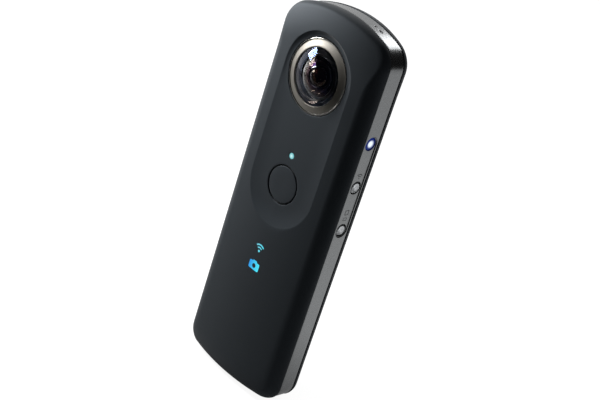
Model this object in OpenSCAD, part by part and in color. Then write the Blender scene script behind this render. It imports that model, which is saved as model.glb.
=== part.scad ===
// Slim twin-lens 360 degree camera
// Millimetres, base on z = 0, shutter side towards -y, button side towards +x.

/* [Body] */
// Width across the two sides
body_w = 44; // [42:0.5:48]
// Height from the base to the top of the arch
body_h = 130; // [124:1:140]
// Depth over both covers at the middle
body_d = 17.9; // [17.5:0.1:19.5]
// Distance between the edges of the two covers
band_w = 6.2; // [6:0.1:7]
// How far the rounding of a cover reaches in from its edge
edge_r = 4.4; // [4:0.1:5]
// How much lower a cover is at its sides than along its middle
crown_drop = 2.2; // [1.8:0.1:2.4]
// Radius of the arched top
top_arch_r = 46; // [40:1:60]
// Radius of the two top corners
top_corner_r = 8.2; // [7:0.1:10]
// Radius of the gently arched base
base_arch_r = 130; // [90:5:200]
// Radius of the two base corners
base_corner_r = 6.6; // [6.4:0.1:8]
// Wall of the two covers
cover_wall = 1.5; // [1.3:0.1:1.7]
// Wall of the band
frame_wall = 1.8; // [1.6:0.1:2]
// How far the band lies below the covers' edges
band_step = 0.15; // [0.05:0.05:0.3]
// Shadow gap between the band and a cover
seam_gap = 0.2; // [0.1:0.05:0.3]

/* [Lenses] */
// Distance between the tips of the two dome lenses
lens_span = 22.9; // [22.5:0.1:24]
// Lens axis below the top of the arch
lens_drop = 21.2; // [20:0.1:23]
// Outer radius of a lens ring
ring_r = 11.8; // [11.4:0.1:12.2]
// Radius of a dome lens
dome_r = 9; // [8.8:0.1:9.3]
// Thickness of a dome lens on its axis
dome_t = 1.35; // [1.1:0.05:1.5]
// Gap round a lens ring
ring_gap = 0.25; // [0.15:0.05:0.35]
// Leg of a folding prism
prism_leg = 4.4; // [4:0.1:4.5]

/* [Recess] */
// Radius of the recess floor round the lens and the shutter
recess_r = 13.4; // [13:0.1:13.8]
// Depth of the recess along the middle of a cover
recess_depth = 1.15; // [0.9:0.05:1.3]
// Width of the sloped recess wall for each unit of depth
recess_slope = 0.6; // [0.4:0.1:1]
// Length of the ramp at the recess's lower end
ramp_l = 7; // [5:0.5:9]

/* [Shutter and lamps] */
// Shutter axis below the lens axis
shutter_drop = 36.9; // [34:0.1:40]
// Radius of the shutter button
shutter_r = 5.95; // [5.5:0.05:6.2]
// Groove round the shutter button
shutter_groove = 0.5; // [0.3:0.05:0.6]
// Travel of the shutter button
shutter_travel = 0.35; // [0.25:0.05:0.45]
// Status lamp above the shutter axis
status_rise = 10.1; // [9.8:0.1:11]
// Radius of the status lamp
status_r = 0.95; // [0.7:0.05:1.1]
// Wireless lamp below the shutter axis
wireless_lamp_drop = 22.6; // [21:0.1:24]
// Distance between the wireless lamp and the mode lamp
lamp_pitch = 6.6; // [6.2:0.1:8]

/* [Side buttons] */
// Power button below the lens axis
key_drop = 12.5; // [11:0.1:13]
// Distance between side buttons
key_pitch = 14.85; // [13:0.05:15]
// Radius of a side button
key_r = 1.9; // [1.7:0.05:2]
// Gap round a side button
key_gap = 0.3; // [0.15:0.05:0.35]
// Travel of a side button
key_travel = 0.3; // [0.2:0.05:0.35]

/* [Base] */
// Radius of the tripod thread over its crests
tripod_r = 3.175; // [3.1:0.025:3.3]
// Depth of the tripod hole
tripod_depth = 7.5; // [6:0.1:8]
// Radius of the tripod bush
bush_r = 5.2; // [5:0.1:5.4]
// Data socket to the right of the tripod hole
data_x = 11.4; // [10.8:0.1:11.6]
// Video socket to the left of the tripod hole
video_x = 11.2; // [10.8:0.1:11.4]

/* [Inside] */
// Thickness of the circuit boards
board_t = 0.8; // [0.6:0.1:1]
// Thickness of the battery pack
battery_t = 4; // [3.6:0.1:4.2]
// Width of the battery pack
battery_w = 28; // [26:0.5:29]
// Space between the battery pack and the lens block
battery_gap = 8; // [6:0.5:24]

/* [Hidden] */
$fn = 72;

// Clearances
glued = 0.05;
running = 0.1;
cut = 1;
bite = 0.1;

// Body
half_w = body_w / 2;
half_band = band_w / 2;
crown_h = body_d / 2 - half_band;
top_centre_z = body_h - top_arch_r;
top_corner_x = half_w - top_corner_r;
top_corner_z = top_centre_z + sqrt(pow(top_arch_r - top_corner_r, 2) - pow(top_corner_x, 2));
top_corner_end = atan2(top_corner_z - top_centre_z, top_corner_x);
base_corner_x = half_w - base_corner_r;
base_corner_z = base_arch_r - sqrt(pow(base_arch_r - base_corner_r, 2) - pow(base_corner_x, 2));
base_corner_start = atan2(base_corner_z - base_arch_r, base_corner_x);
corner_steps = 8;
base_steps = 4;
top_steps = 7;
cover_seat = half_band + seam_gap / 2;
frame_half = half_band - seam_gap / 2;
band_x = half_w - band_step;
frame_inner_x = band_x - frame_wall;

// Heights along the body
lens_z = body_h - lens_drop;
shutter_z = lens_z - shutter_drop;
status_z = shutter_z + status_rise;
wireless_lamp_z = shutter_z - wireless_lamp_drop;
mode_lamp_z = wireless_lamp_z - lamp_pitch;
key_z = [for (i = [0:2]) lens_z - key_drop - i * key_pitch];

// Depths of the lens stack, measured out from the middle of the camera
floor_a = body_d / 2 - recess_depth;
recess_cut = 3;
ramp_gap = 0.3;
cover_inner_a = floor_a - cover_wall;
tip_a = lens_span / 2;
prism_wall = 0.45;
chassis_a = prism_leg + prism_wall;
ring_sink = 0.5;
ring_rise = 0.5;
ring_h = 1.6;
ring_rim_a = floor_a - ring_sink;
ring_top_a = floor_a + ring_rise;
ring_seat_a = floor_a - ring_h;
dome_edge_rise = 0.4;
dome_foot = 0.6;
dome_edge_a = floor_a + dome_edge_rise;
dome_seat_a = floor_a - dome_foot;
dome_sag = tip_a - dome_edge_a;
dome_sphere_r = (pow(dome_r, 2) + pow(dome_sag, 2)) / (2 * dome_sag);
dome_inner_r = 9.4;
dome_inner_a = tip_a - dome_t - dome_inner_r;
lens_air = 0.6;
second_r = 6.1;
second_t = 0.8;
second_sink = 1.9;
second_sphere_r = 8.2;
second_inner_r = 4.7;
second_tip_a = tip_a - dome_t - lens_air;
second_seat_a = floor_a - second_sink;
second_inner_a = second_tip_a - second_t - second_inner_r;
third_r = 4;
third_t = 2.1;
third_sphere_r = 6;
third_base_t = 0.25;
third_seat_a = chassis_a + third_base_t;
third_tip_a = third_seat_a + third_t;
barrel_step = 0.6;
barrel_r = ring_r - barrel_step;
flange_reach = 0.8;
flange_r = recess_r + flange_reach;
seal_t = 0.5;
flange_a = cover_inner_a - seal_t - 2 * glued;

// Folded light path behind each lens
prism_sink = 0.15;
path_a = chassis_a - prism_sink - prism_leg / 2;
relay_r = 2;
relay_gap = 0.3;
relay_start = prism_leg / 2 + relay_gap;
chassis_x = 7.6;
chassis_h = 7.5;
chassis_bar_h = 3.6;
bar_y = 1.7;
bar_t = 1;
sensor_t = 1.15;
sensor_size = [prism_leg + running, 8];
sensor_x = chassis_x + running;
sensor_board_x = sensor_x + sensor_t + glued;
sensor_board_h = 6.5;
sensor_board_in = 5.5;
sensor_board_out = chassis_a - path_a - running;
sensor_screw_h = 5.4;

// Side buttons
channel_depth = 0.3;
channel_margin = 0.35;
channel_r = key_r + key_gap + channel_margin;
key_proud = 0.05;
key_face_x = band_x - channel_depth + key_proud;
key_flange_w = 0.5;
key_flange_r = key_r + key_gap + key_flange_w;
key_flange_x = frame_inner_x - running;
key_flange_t = 0.6;
key_room = 2.85;
key_board_x = frame_inner_x - key_room;
key_board_t = 0.55;
key_switch_t = 1;
key_stem_r = 1;
key_tip_x = key_board_x + key_switch_t + key_travel + glued + running;
key_board_below = 7;
key_board_above = 5;
key_board_z = [key_z[2] - key_board_below, key_z[0] + key_board_above];
lug_h = 1.4;
antenna_below = 4;
antenna_above = 2;

// Base
bush_flange_t = 1.2;
bush_step = 0.9;
bush_body_r = bush_r - bush_step;
bush_end_t = 1.7;
bush_h = tripod_depth + bush_end_t;
bush_boss_top = bush_h + bush_step;
data_size = [7.5, 2.5, 5.4];
video_size = [6.4, 2.8, 6.6];
socket_mouth_z = 1.1;
socket_gap = 0.3;
speaker_hole_r = 0.4;
speaker_hole_pitch = 1.5;
speaker_hole_x = (bush_r + video_x - video_size.x / 2 - socket_gap) / 2;

// Boards, plate and battery
board_margin = 1.05;
board_half_w = key_board_x - key_board_t - board_margin;
board_back = -1.25;
board_y = board_back - board_t;
board_front_a = -board_y;
board_base = 4;
board_drop = 12.8;
board_top = lens_z - board_drop;
plate_y = 1.7;
plate_t = 0.5;
plate_gap = 0.6;
plate_drop = 11.8;
plate_base = bush_boss_top + plate_gap;
plate_top = lens_z - plate_drop;
speaker_size = [10, 3, 9];
speaker_x = -10;
speaker_z = plate_base + plate_gap;
battery_z = speaker_z + speaker_size.z + plate_gap;
battery_y = plate_y + plate_t + glued;
battery_h = lens_z - flange_r - battery_gap - battery_z;
shield_w = 22;
shield_l = 36;
shield_drop = 3.9;
shield_z = [shutter_z - shield_drop - shield_l, shutter_z - shield_drop];
chip_inset = 4;
processor_size = [12, 1.1, 12];
processor_z = shield_z[0] + chip_inset;
memory_size = [10, 1, 11];
memory_z = shield_z[1] - chip_inset - memory_size.z;
pad_size = [14, 0.5, 26];
pad_z = (shield_z[0] + shield_z[1] - pad_size.z) / 2;
shield_top = plate_y - pad_size.y - 2 * glued;

// Frame screws join the band's bosses to the front cover
boss_r = 2.1;
boss_gap = 1.75;
boss_rise = 5.4;
boss_x = frame_inner_x - boss_gap;
boss_z = [
    base_corner_z + boss_rise,
    key_board_z[0] - boss_rise - 0.2,
    lens_z + chassis_h + chassis_bar_h / 2
];
boss_end = plate_y - glued;
post_r = 1.6;
post_end = half_band + 0.55 * crown_h;
screw_r = 0.8;
screw_head_r = 1.5;
screw_head_t = 0.8;
pilot_r = screw_r + glued;
frame_screw_l = 7;
board_screw_l = 4.4;
sensor_screw_l = 4;
board_post_inset = 2.8;
board_post_x = board_half_w - board_post_inset;
board_post_r = 1.7;
board_post_end = floor_a - 0.4 * cover_wall;
board_post_rise = 11;
board_post_drop = 8.1;
board_post_z = [boss_z[0] + board_post_rise, board_top - board_post_drop];
frame_pilot_a = frame_screw_l - plate_y - plate_t + running;
board_pilot_a = board_screw_l - board_back + running;
lip_t = 0.85;
lip_depth = 1.2;
lip_x = frame_inner_x - running;
lip_gap = 5;
lip_z = [boss_z[0] + lip_gap, boss_z[1] - lip_gap];

// Shutter stack
shutter_sink = 0.05;
shutter_top_a = floor_a - shutter_sink;
shutter_flange_w = 1.1;
shutter_flange_r = shutter_r + shutter_flange_w;
shutter_flange_t = 0.7;
shutter_collar_t = 1;
shutter_collar_h = 1.4;
shutter_flange_a = cover_inner_a - running;
switch_t = 1;
switch_plunger = 0.4;
shutter_tip_a = board_front_a + switch_t + switch_plunger + shutter_travel + glued;
led_t = 0.6;
led_gap = 0.15;
guide_start_a = board_front_a + led_t + led_gap;
lamp_window = [5, 3.8];
lamp_skin = 0.6;

// Microphone under the arched top
mic_angle = asin(11.6 / top_arch_r);
mic_second_angle = asin(9.1 / top_arch_r);
mic_middle_angle = (mic_angle + mic_second_angle) / 2;
mic_slot = [1.5, 0.7];
mic_size = [6, 3.2, 1.3];
mic_seal_t = 1;
mic_seal_r = top_arch_r - band_step - frame_wall - 2 * glued;

// Height of a cover's crown above the seam at a distance from the middle
function crown(x) = crown_h - crown_drop * pow(x / half_w, 2);

function arc(centre, r, from, to, steps, offset = 0, last = 0) = [
    for (i = [0:steps - 1 + last]) let (a = from + (to - from) * (i + offset) / steps)
        [centre.x + r * cos(a), centre.y + r * sin(a)]
];

// Right half of the body's outline, from the base to the top, set in from the edge
function half_outline(inset) = concat(
    arc([0, base_arch_r], base_arch_r - inset, -90, base_corner_start, base_steps, 0.5),
    arc([base_corner_x, base_corner_z], base_corner_r - inset, base_corner_start, 0, corner_steps, 0, 1),
    arc([top_corner_x, top_corner_z], top_corner_r - inset, 0, top_corner_end, corner_steps, 0, 1),
    arc([0, top_centre_z], top_arch_r - inset, top_corner_end, 90, top_steps, 0.5)
);

function mirrored(points) = [for (i = [len(points) - 1:-1:0]) [-points[i].x, points[i].y]];

function outline(inset) = let (half = half_outline(inset)) concat(half, mirrored(half));

// Faces are drawn lying down: x across the body, y up the body, z out from its middle
module as_front() { rotate([90, 0, 0]) children(); }
module as_rear() { rotate([0, 0, 180]) as_front() children(); }
module facing(rear) {
    if (rear) as_rear() children();
    else as_front() children();
}
module at_lens(rear) { facing(rear) translate([0, lens_z, 0]) children(); }

// Points towards +x, as the side buttons do
module at_key(i) { translate([0, 0, key_z[i]]) rotate([0, 90, 0]) children(); }

// Crowned solid with a rounded edge: the outside of a cover, or its inside when set in
module pillow(inset, seat, levels, columns) {
    half_n = len(half_outline(0));
    ring_n = 2 * half_n;
    top = levels * ring_n;
    reach = edge_r - inset;
    rings = [
        for (k = [0:levels]) let (a = 90 * k / levels)
            for (p = outline(inset + reach * (1 - cos(a))))
                [p.x, p.y, k == 0 ? seat : half_band + (crown(p.x) - inset) * sin(a)]
    ];
    inner = [
        for (i = [1:half_n - 2], j = [1:columns - 1])
            let (p = rings[top + i], x = p.x * (1 - 2 * j / columns))
                [x, p.y, half_band + crown(x) - inset]
    ];
    function row(i) = i == 0 || i == half_n - 1
        ? [top + i, top + ring_n - 1 - i]
        : concat(
            [top + i],
            [for (j = [1:columns - 1]) top + ring_n + (i - 1) * (columns - 1) + j - 1],
            [top + ring_n - 1 - i]
        );
    middle = columns / 2;
    first = row(0);
    second = row(1);
    before = row(half_n - 2);
    last = row(half_n - 1);
    sides = [
        for (k = [0:levels - 1], i = [0:ring_n - 1])
            let (low = k * ring_n, high = low + ring_n, n = (i + 1) % ring_n)
                each [[low + i, high + i, high + n], [low + i, high + n, low + n]]
    ];
    cap = [
        for (i = [1:half_n - 3], j = [0:columns - 1])
            let (a = row(i), b = row(i + 1))
                each [[a[j], a[j + 1], b[j + 1]], [a[j], b[j + 1], b[j]]]
    ];
    ends = concat(
        [for (j = [0:columns - 1]) [first[j < middle ? 0 : 1], second[j + 1], second[j]]],
        [[first[0], first[1], second[middle]]],
        [for (j = [0:columns - 1]) [before[j], before[j + 1], last[j < middle ? 0 : 1]]],
        [[before[middle], last[1], last[0]]]
    );
    base = [[for (i = [0:ring_n - 1]) i]];
    polyhedron(concat(rings, inner), concat(base, sides, cap, ends));
}

// Stadium from the lens axis down to the shutter axis, widening outwards
module tongue(r, from, to, slope) {
    hull() for (y = [lens_z, shutter_z])
        translate([0, y, from]) cylinder(r1 = r, r2 = r + slope * (to - from), h = to - from, $fn = 64);
}

// Recess of the front cover: flat from the lens past the shutter, then a ramp up to the crown
module front_recess() {
    top = lens_z + recess_r + recess_slope * recess_cut;
    ramp_start = shutter_z - shutter_r - shutter_groove - ramp_gap;
    side = [
        [top, floor_a], [ramp_start, floor_a], [ramp_start - ramp_l, body_d / 2],
        [ramp_start - 2 * ramp_l, body_d / 2 + recess_depth], [top, body_d / 2 + recess_depth]
    ];
    intersection() {
        tongue(recess_r, floor_a, floor_a + recess_cut, recess_slope);
        rotate([90, 0, 90]) translate([0, 0, -body_w / 2]) linear_extrude(body_w) polygon(side);
    }
}

module ring_2d(outer, inner) {
    difference() {
        circle(outer);
        circle(inner);
    }
}

module tube(outer, inner, from, to) {
    translate([0, 0, from]) linear_extrude(to - from) ring_2d(outer, inner);
}

module rod(r, from, to) { translate([0, 0, from]) cylinder(r = r, h = to - from); }

module block(x, y, z) { translate([x[0], y[0], z[0]]) cube([x[1] - x[0], y[1] - y[0], z[1] - z[0]]); }

// Lip that locates a cover inside the band, on one side
module cover_lip(side, from, to) {
    root = [lip_x - lip_t, half_w - 0.6 * cover_wall];
    root_h = 1.1;
    mirror([side < 0 ? 1 : 0, 0, 0]) {
        block([lip_x - lip_t, lip_x], [from, to], [frame_half - lip_depth, cover_seat + cut]);
        block(root, [from, to], [cover_seat, cover_seat + root_h]);
    }
}

module cover_shell(rear) {
    difference() {
        pillow(0, cover_seat, 6, 12);
        difference() {
            pillow(cover_wall, cover_seat - cut, 4, 8);
            if (rear) translate([0, lens_z, 0]) rod(recess_r + cover_wall, cover_inner_a, tip_a);
            else tongue(recess_r + cover_wall, cover_inner_a, tip_a, 0);
        }
        if (rear)
            translate([0, lens_z, floor_a])
                cylinder(r1 = recess_r, r2 = recess_r + recess_slope * recess_cut, h = recess_cut);
        else front_recess();
        translate([0, lens_z, 0]) rod(ring_r + ring_gap, 0, tip_a);
        rotate([-90, 0, 0]) rod(bush_r + seam_gap, -cut, bush_boss_top + running);
    }
}

module front_cover() {
    color("#3b3f44") as_front() difference() {
        union() {
            cover_shell(false);
            for (side = [-1, 1]) {
                for (z = boss_z) translate([side * boss_x, z, 0]) rod(post_r, frame_half + glued, post_end);
                for (z = board_post_z)
                    translate([side * board_post_x, z, 0])
                        rod(board_post_r, board_front_a + glued, board_post_end);
            }
            translate([0, shutter_z, 0])
                tube(
                    shutter_flange_r + shutter_collar_t, shutter_flange_r + running,
                    cover_inner_a - shutter_collar_h, cover_inner_a + bite
                );
            for (side = [-1, 1]) cover_lip(side, lip_z[0], lip_z[1]);
        }
        translate([0, shutter_z, 0]) rod(shutter_r + shutter_groove, floor_a - 2 * cover_wall, tip_a);
        translate([0, status_z, 0]) rod(status_r + glued, floor_a - 2 * cover_wall, tip_a);
        for (z = [wireless_lamp_z, mode_lamp_z])
            translate([0, z, 0]) lamp_body(lamp_window, glued, half_band, body_d / 2 - lamp_skin);
        for (side = [-1, 1]) {
            for (z = boss_z) translate([side * boss_x, z, 0]) rod(pilot_r, 0, frame_pilot_a);
            for (z = board_post_z)
                translate([side * board_post_x, z, 0]) rod(pilot_r, 0, board_pilot_a);
        }
    }
}

module rear_cover() {
    color("#2c2f33") as_rear() {
        cover_shell(true);
        for (side = [-1, 1]) cover_lip(side, lip_z[0], lip_z[1]);
    }
}

// Rounded slot along x, centred, with its depth along z
module slot(size, depth) {
    linear_extrude(depth) {
        square([size.x - size.y, size.y], center = true);
        for (side = [-1, 1]) translate([side * (size.x - size.y) / 2, 0]) circle(size.y / 2);
    }
}

// Opening in the base of the band round a socket
module socket_mouth(x, size) {
    translate([x, board_back + size.y / 2, -cut])
        linear_extrude(2 * frame_wall + 2 * cut)
            square([size.x + 2 * socket_gap, size.y + 2 * socket_gap], center = true);
}

module key_lug(from, to) {
    half = frame_half - 3 * bite;
    block([key_board_x + glued, frame_inner_x + 4 * bite], [-half, half], [from, to]);
}

module side_frame() {
    color("#8d8f90") difference() {
        union() {
            as_front() translate([0, 0, -frame_half]) linear_extrude(2 * frame_half) difference() {
                polygon(outline(band_step));
                polygon(outline(band_step + frame_wall));
            }
            as_front() for (side = [-1, 1], z = boss_z)
                translate([side * boss_x, z, 0]) rod(boss_r, -boss_end, frame_half);
            rod(bush_r, bush_flange_t, bush_boss_top);
            key_lug(key_board_z[0], key_board_z[0] + lug_h);
            key_lug(key_board_z[1] - lug_h, key_board_z[1]);
        }
        rod(bush_r + glued, -cut, bush_flange_t + glued);
        rod(bush_body_r + glued, -cut, bush_h + glued);
        as_front() for (side = [-1, 1], z = boss_z)
            translate([side * boss_x, z, 0]) rod(pilot_r, -body_d, body_d);
        for (i = [0:2]) at_key(i) rod(key_r + key_gap, frame_inner_x - cut, half_w + cut);
        key_channel();
        socket_mouth(data_x, data_size);
        socket_mouth(-video_x, video_size);
        for (i = [-1, 0, 1])
            translate([-speaker_hole_x, i * speaker_hole_pitch, 0]) rod(speaker_hole_r, -cut, frame_wall + cut);
        at_arch(mic_angle) translate([0, 0, mic_seal_r - cut]) slot(mic_slot, top_arch_r);
        at_arch(mic_second_angle) rod(mic_slot.y / 2, mic_seal_r - cut, top_arch_r + cut);
    }
}

// Shallow channel along the side buttons
module key_channel() {
    length = key_z[0] - key_z[2] + 2 * channel_r;
    translate([band_x - channel_depth, 0, (key_z[0] + key_z[2]) / 2])
        rotate([0, 90, 0]) slot([length, 2 * channel_r], channel_depth + cut);
}

// Out through the arched top, turned from straight up towards +x
module at_arch(angle) { translate([0, 0, top_centre_z]) rotate([0, angle, 0]) children(); }

module tripod_bush() {
    color("#b9b7b0") difference() {
        union() {
            rod(bush_r, 0, bush_flange_t);
            rod(bush_body_r, bush_flange_t - bite, bush_h);
        }
        rod(tripod_r, -cut, tripod_depth);
    }
}

// Ring with a satin cone that rises to the dome and a fine rim round it
module lens_ring(rear) {
    rim = 0.3;
    rim_h = 0.2;
    top_w = 0.25;
    color("#c6c3bb") at_lens(rear) rotate_extrude() polygon([
        [dome_r + glued, ring_seat_a],
        [ring_r, ring_seat_a],
        [ring_r, ring_rim_a],
        [ring_r - rim, ring_rim_a + rim_h],
        [dome_r + top_w, ring_top_a],
        [dome_r + glued, ring_top_a]
    ]);
}

module dome_lens(rear) {
    color("#14171d") at_lens(rear) difference() {
        intersection() {
            translate([0, 0, tip_a - dome_sphere_r]) sphere(dome_sphere_r);
            rod(dome_r, dome_seat_a, tip_a + cut);
        }
        translate([0, 0, dome_inner_a]) sphere(dome_inner_r);
    }
}

module second_lens(rear) {
    color("#1b2030") at_lens(rear) difference() {
        intersection() {
            translate([0, 0, second_tip_a - second_sphere_r]) sphere(second_sphere_r);
            rod(second_r, second_seat_a, tip_a);
        }
        translate([0, 0, second_inner_a]) sphere(second_inner_r);
    }
}

module third_lens(rear) {
    color("#241d2b") at_lens(rear) intersection() {
        translate([0, 0, third_tip_a - third_sphere_r]) sphere(third_sphere_r);
        rod(third_r, third_seat_a, tip_a);
    }
}

// Stepped holder for the three lenses, with a flange that presses the seal on the cover
module lens_barrel(rear) {
    collar = dome_r - glued;
    throat = third_r - barrel_step;
    funnel = 0.7;
    funnel_h = 0.4;
    color("#17181a") at_lens(rear) rotate_extrude() polygon([
        [throat, chassis_a + glued],
        [flange_r, chassis_a + glued],
        [flange_r, flange_a],
        [barrel_r, flange_a],
        [barrel_r, ring_seat_a - glued],
        [collar, ring_seat_a - glued],
        [collar, dome_seat_a - glued],
        [second_r + funnel, dome_seat_a - glued],
        [second_r + glued, dome_seat_a - funnel_h],
        [second_r + glued, second_seat_a - glued],
        [third_r + glued, second_seat_a - glued],
        [third_r + glued, third_seat_a - glued],
        [throat, third_seat_a - glued]
    ]);
}

module lens_seal(rear) {
    color("#26282b") at_lens(rear)
        tube(flange_r - running, ring_r + ring_gap + running, flange_a + glued, cover_inner_a - glued);
}

// Right-angle prism: light comes in along the lens axis and leaves towards -x
module prism(rear) {
    leg = prism_leg / 2;
    color("#c8d2d6") at_lens(rear) translate([0, -leg, path_a]) rotate([-90, 0, 0])
        linear_extrude(prism_leg) polygon([[-leg, -leg], [leg, -leg], [-leg, leg]]);
}

module along_path(rear) { at_lens(rear) translate([0, 0, path_a]) rotate([0, -90, 0]) children(); }

module relay_lens(rear) {
    dish_r = 3;
    dish = 0.4;
    color("#b8c6cc") along_path(rear) difference() {
        rod(relay_r, relay_start, chassis_x - relay_gap);
        translate([0, 0, relay_start + dish - dish_r]) sphere(dish_r);
    }
}

module image_sensor(rear) {
    color("#3d4a52") along_path(rear) translate([0, 0, sensor_x])
        linear_extrude(sensor_t) square(sensor_size, center = true);
}

module sensor_board(rear) {
    color("#1f5a3c") along_path(rear) difference() {
        block(
            [-sensor_board_in, sensor_board_out],
            [-sensor_board_h, sensor_board_h],
            [sensor_board_x, sensor_board_x + board_t]
        );
        sensor_screw_places() rod(pilot_r, sensor_x, sensor_board_x + 2 * board_t);
    }
}

module sensor_screw_places() { for (side = [-1, 1]) translate([0, side * sensor_screw_h, 0]) children(); }

// Cap screw along z with its head resting at the given height
module screw(head, length) {
    drive_r = 0.5;
    drive_depth = 0.4;
    rod(screw_r, head - length, head + bite);
    difference() {
        rod(screw_head_r, head, head + screw_head_t);
        rod(drive_r, head + screw_head_t - drive_depth, head + cut);
    }
}

module sensor_screws() {
    color("#77797c") for (rear = [false, true])
        along_path(rear) sensor_screw_places() screw(sensor_board_x + board_t + glued, sensor_screw_l);
}

// Flat cable from a sensor board down to the back of the main board
module sensor_flex(rear) {
    x = sensor_board_x + board_t + glued;
    plug_h = 4;
    plug_drop = 2;
    plug = [board_top - plug_drop - plug_h, board_top - plug_drop];
    flex_t = 0.15;
    flex_y = [-0.8, 0.8];
    color("#a8672a") mirror([rear ? 0 : 1, 0, 0]) {
        block([x, x + flex_t], flex_y, [plug[0], lens_z - plug_drop]);
        block([x, x + flex_t], [board_back + glued, flex_y[0] + bite], plug);
    }
}

// Rigid block that carries both prisms, relay lenses, barrels and sensors
module lens_chassis() {
    pocket = prism_leg / 2 + glued;
    bar_x = boss_x + 2 * screw_r;
    color("#6f7377") difference() {
        union() {
            translate([0, 0, lens_z])
                block([-chassis_x, chassis_x], [-chassis_a, chassis_a], [-chassis_h, chassis_h]);
            translate([0, 0, lens_z + chassis_h - bite])
                block([-bar_x, bar_x], [bar_y, bar_y + bar_t], [0, chassis_bar_h + bite]);
        }
        for (rear = [false, true]) {
            at_lens(rear) block([-pocket, pocket], [-pocket, pocket], [path_a - pocket, chassis_a + cut]);
            along_path(rear) rod(relay_r + glued, 0, chassis_x + cut);
            along_path(rear) sensor_screw_places()
                rod(pilot_r, sensor_board_x - sensor_screw_l, sensor_board_x);
        }
        as_front() for (side = [-1, 1])
            translate([side * boss_x, boss_z[2], 0]) rod(pilot_r, -body_d, body_d);
    }
}

// Round button with a collar that keeps it in the cover and a stem that meets the switch
module shutter_button() {
    chamfer = 0.2;
    stem_r = 1.5;
    color("#393d42") as_front() translate([0, shutter_z, 0]) rotate_extrude() polygon([
        [0, shutter_tip_a],
        [stem_r, shutter_tip_a],
        [stem_r, shutter_flange_a - shutter_flange_t],
        [shutter_flange_r, shutter_flange_a - shutter_flange_t],
        [shutter_flange_r, shutter_flange_a],
        [shutter_r, shutter_flange_a],
        [shutter_r, shutter_top_a - chamfer],
        [shutter_r - chamfer, shutter_top_a],
        [0, shutter_top_a]
    ]);
}

module shutter_switch() {
    body = 4.5;
    plunger_r = 1;
    base = board_front_a + glued;
    color("#9a9c9e") as_front() translate([0, shutter_z, 0]) {
        translate([0, 0, base]) linear_extrude(switch_t - glued) square(body, center = true);
        rod(plunger_r, base + switch_t - 2 * bite, board_front_a + switch_t + switch_plunger);
    }
}

module status_light_guide() {
    color("#54d3ec") as_front() translate([0, status_z, 0]) {
        collar = 0.6;
        rod(status_r, guide_start_a, floor_a - glued);
        rod(status_r + collar, cover_inner_a - collar - bite, cover_inner_a - glued);
    }
}

module lamp_body(size, grow, from, to) {
    block(
        [-size.x / 2 - grow, size.x / 2 + grow],
        [-size.y / 2 - grow, size.y / 2 + grow],
        [from, to]
    );
}

module lamp_guide(z) {
    color("#4cb7e0") as_front() translate([0, z, 0])
        lamp_body(lamp_window, 0, guide_start_a, body_d / 2 - lamp_skin - glued);
}

module wireless_light_guide() { lamp_guide(wireless_lamp_z); }
module mode_light_guide() { lamp_guide(mode_lamp_z); }

// Three lamps on the main board and one behind the power button
module indicator_leds() {
    size = [1.6, 0.8];
    key_rise = 2.9;
    color("#e8efe6") {
        as_front() for (z = [status_z, wireless_lamp_z, mode_lamp_z])
            translate([0, z, board_front_a + glued]) linear_extrude(led_t) square(size, center = true);
        at_key(0) translate([-key_rise, 0, key_board_x + glued])
            linear_extrude(led_t) square([size.y, size.x], center = true);
    }
}

// Side button with a dished face, a collar inside the band and a stem
module side_key(i, face) {
    dish_r = 5;
    dish = 0.3;
    color(face) at_key(i) difference() {
        union() {
            rod(key_r, key_flange_x - bite, key_face_x);
            rod(key_flange_r, key_flange_x - key_flange_t, key_flange_x);
            rod(key_stem_r, key_tip_x, key_flange_x - key_flange_t + bite);
        }
        translate([0, 0, key_face_x - dish + dish_r]) sphere(dish_r);
    }
}

module power_button() { side_key(0, "#cfe0ff"); }
module wireless_button() { side_key(1, "#a5a8ab"); }
module mode_button() { side_key(2, "#a5a8ab"); }

module side_key_board() {
    half = frame_half - 6 * bite;
    color("#1f5a3c")
        block([key_board_x - key_board_t, key_board_x], [-half, half], key_board_z);
}

module side_key_switches() {
    body = [3.4, 3.2];
    plunger_r = 0.8;
    base = key_board_x + glued;
    color("#9a9c9e") for (i = [0:2]) at_key(i) {
        translate([0, 0, base]) linear_extrude(key_switch_t - 2 * bite) square(body, center = true);
        rod(plunger_r, base + key_switch_t - 3 * bite, base + key_switch_t);
    }
}

module board_screw_places() {
    as_front() for (side = [-1, 1], z = board_post_z) translate([side * board_post_x, z, 0]) children();
}

module main_board() {
    notch = bush_r + 2 * plate_gap;
    color("#1f5a3c") difference() {
        block([-board_half_w, board_half_w], [board_y, board_back], [board_base, board_top]);
        block([-notch, notch], [board_y - cut, board_back + cut], [0, bush_boss_top + plate_gap]);
        board_screw_places() rod(pilot_r, 0, body_d);
    }
}

// Flat piece centred across the body, standing on a face at the given depth and height
module centred(size, y, z) { block([-size.x / 2, size.x / 2], [y, y + size.y], [z, z + size.z]); }

module processor() { color("#2b2d30") centred(processor_size, board_back + glued, processor_z); }
module memory_chip() { color("#2b2d30") centred(memory_size, board_back + glued, memory_z); }

// Pressed tray over the processor and the memory
module shield_can() {
    wall = 0.2;
    length = shield_z[1] - shield_z[0];
    height = shield_top - board_back - glued;
    color("#b4b7b9") difference() {
        centred([shield_w, height, length], board_back + glued, shield_z[0]);
        centred(
            [shield_w - 2 * wall, height, length - 2 * wall],
            board_back + glued - wall,
            shield_z[0] + wall
        );
    }
}

module heat_pad() { color("#8fa3b5") centred(pad_size, shield_top + glued, pad_z); }

module board_screws() {
    color("#77797c") board_screw_places() mirror([0, 0, 1]) screw(board_back + glued, board_screw_l);
}

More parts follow.
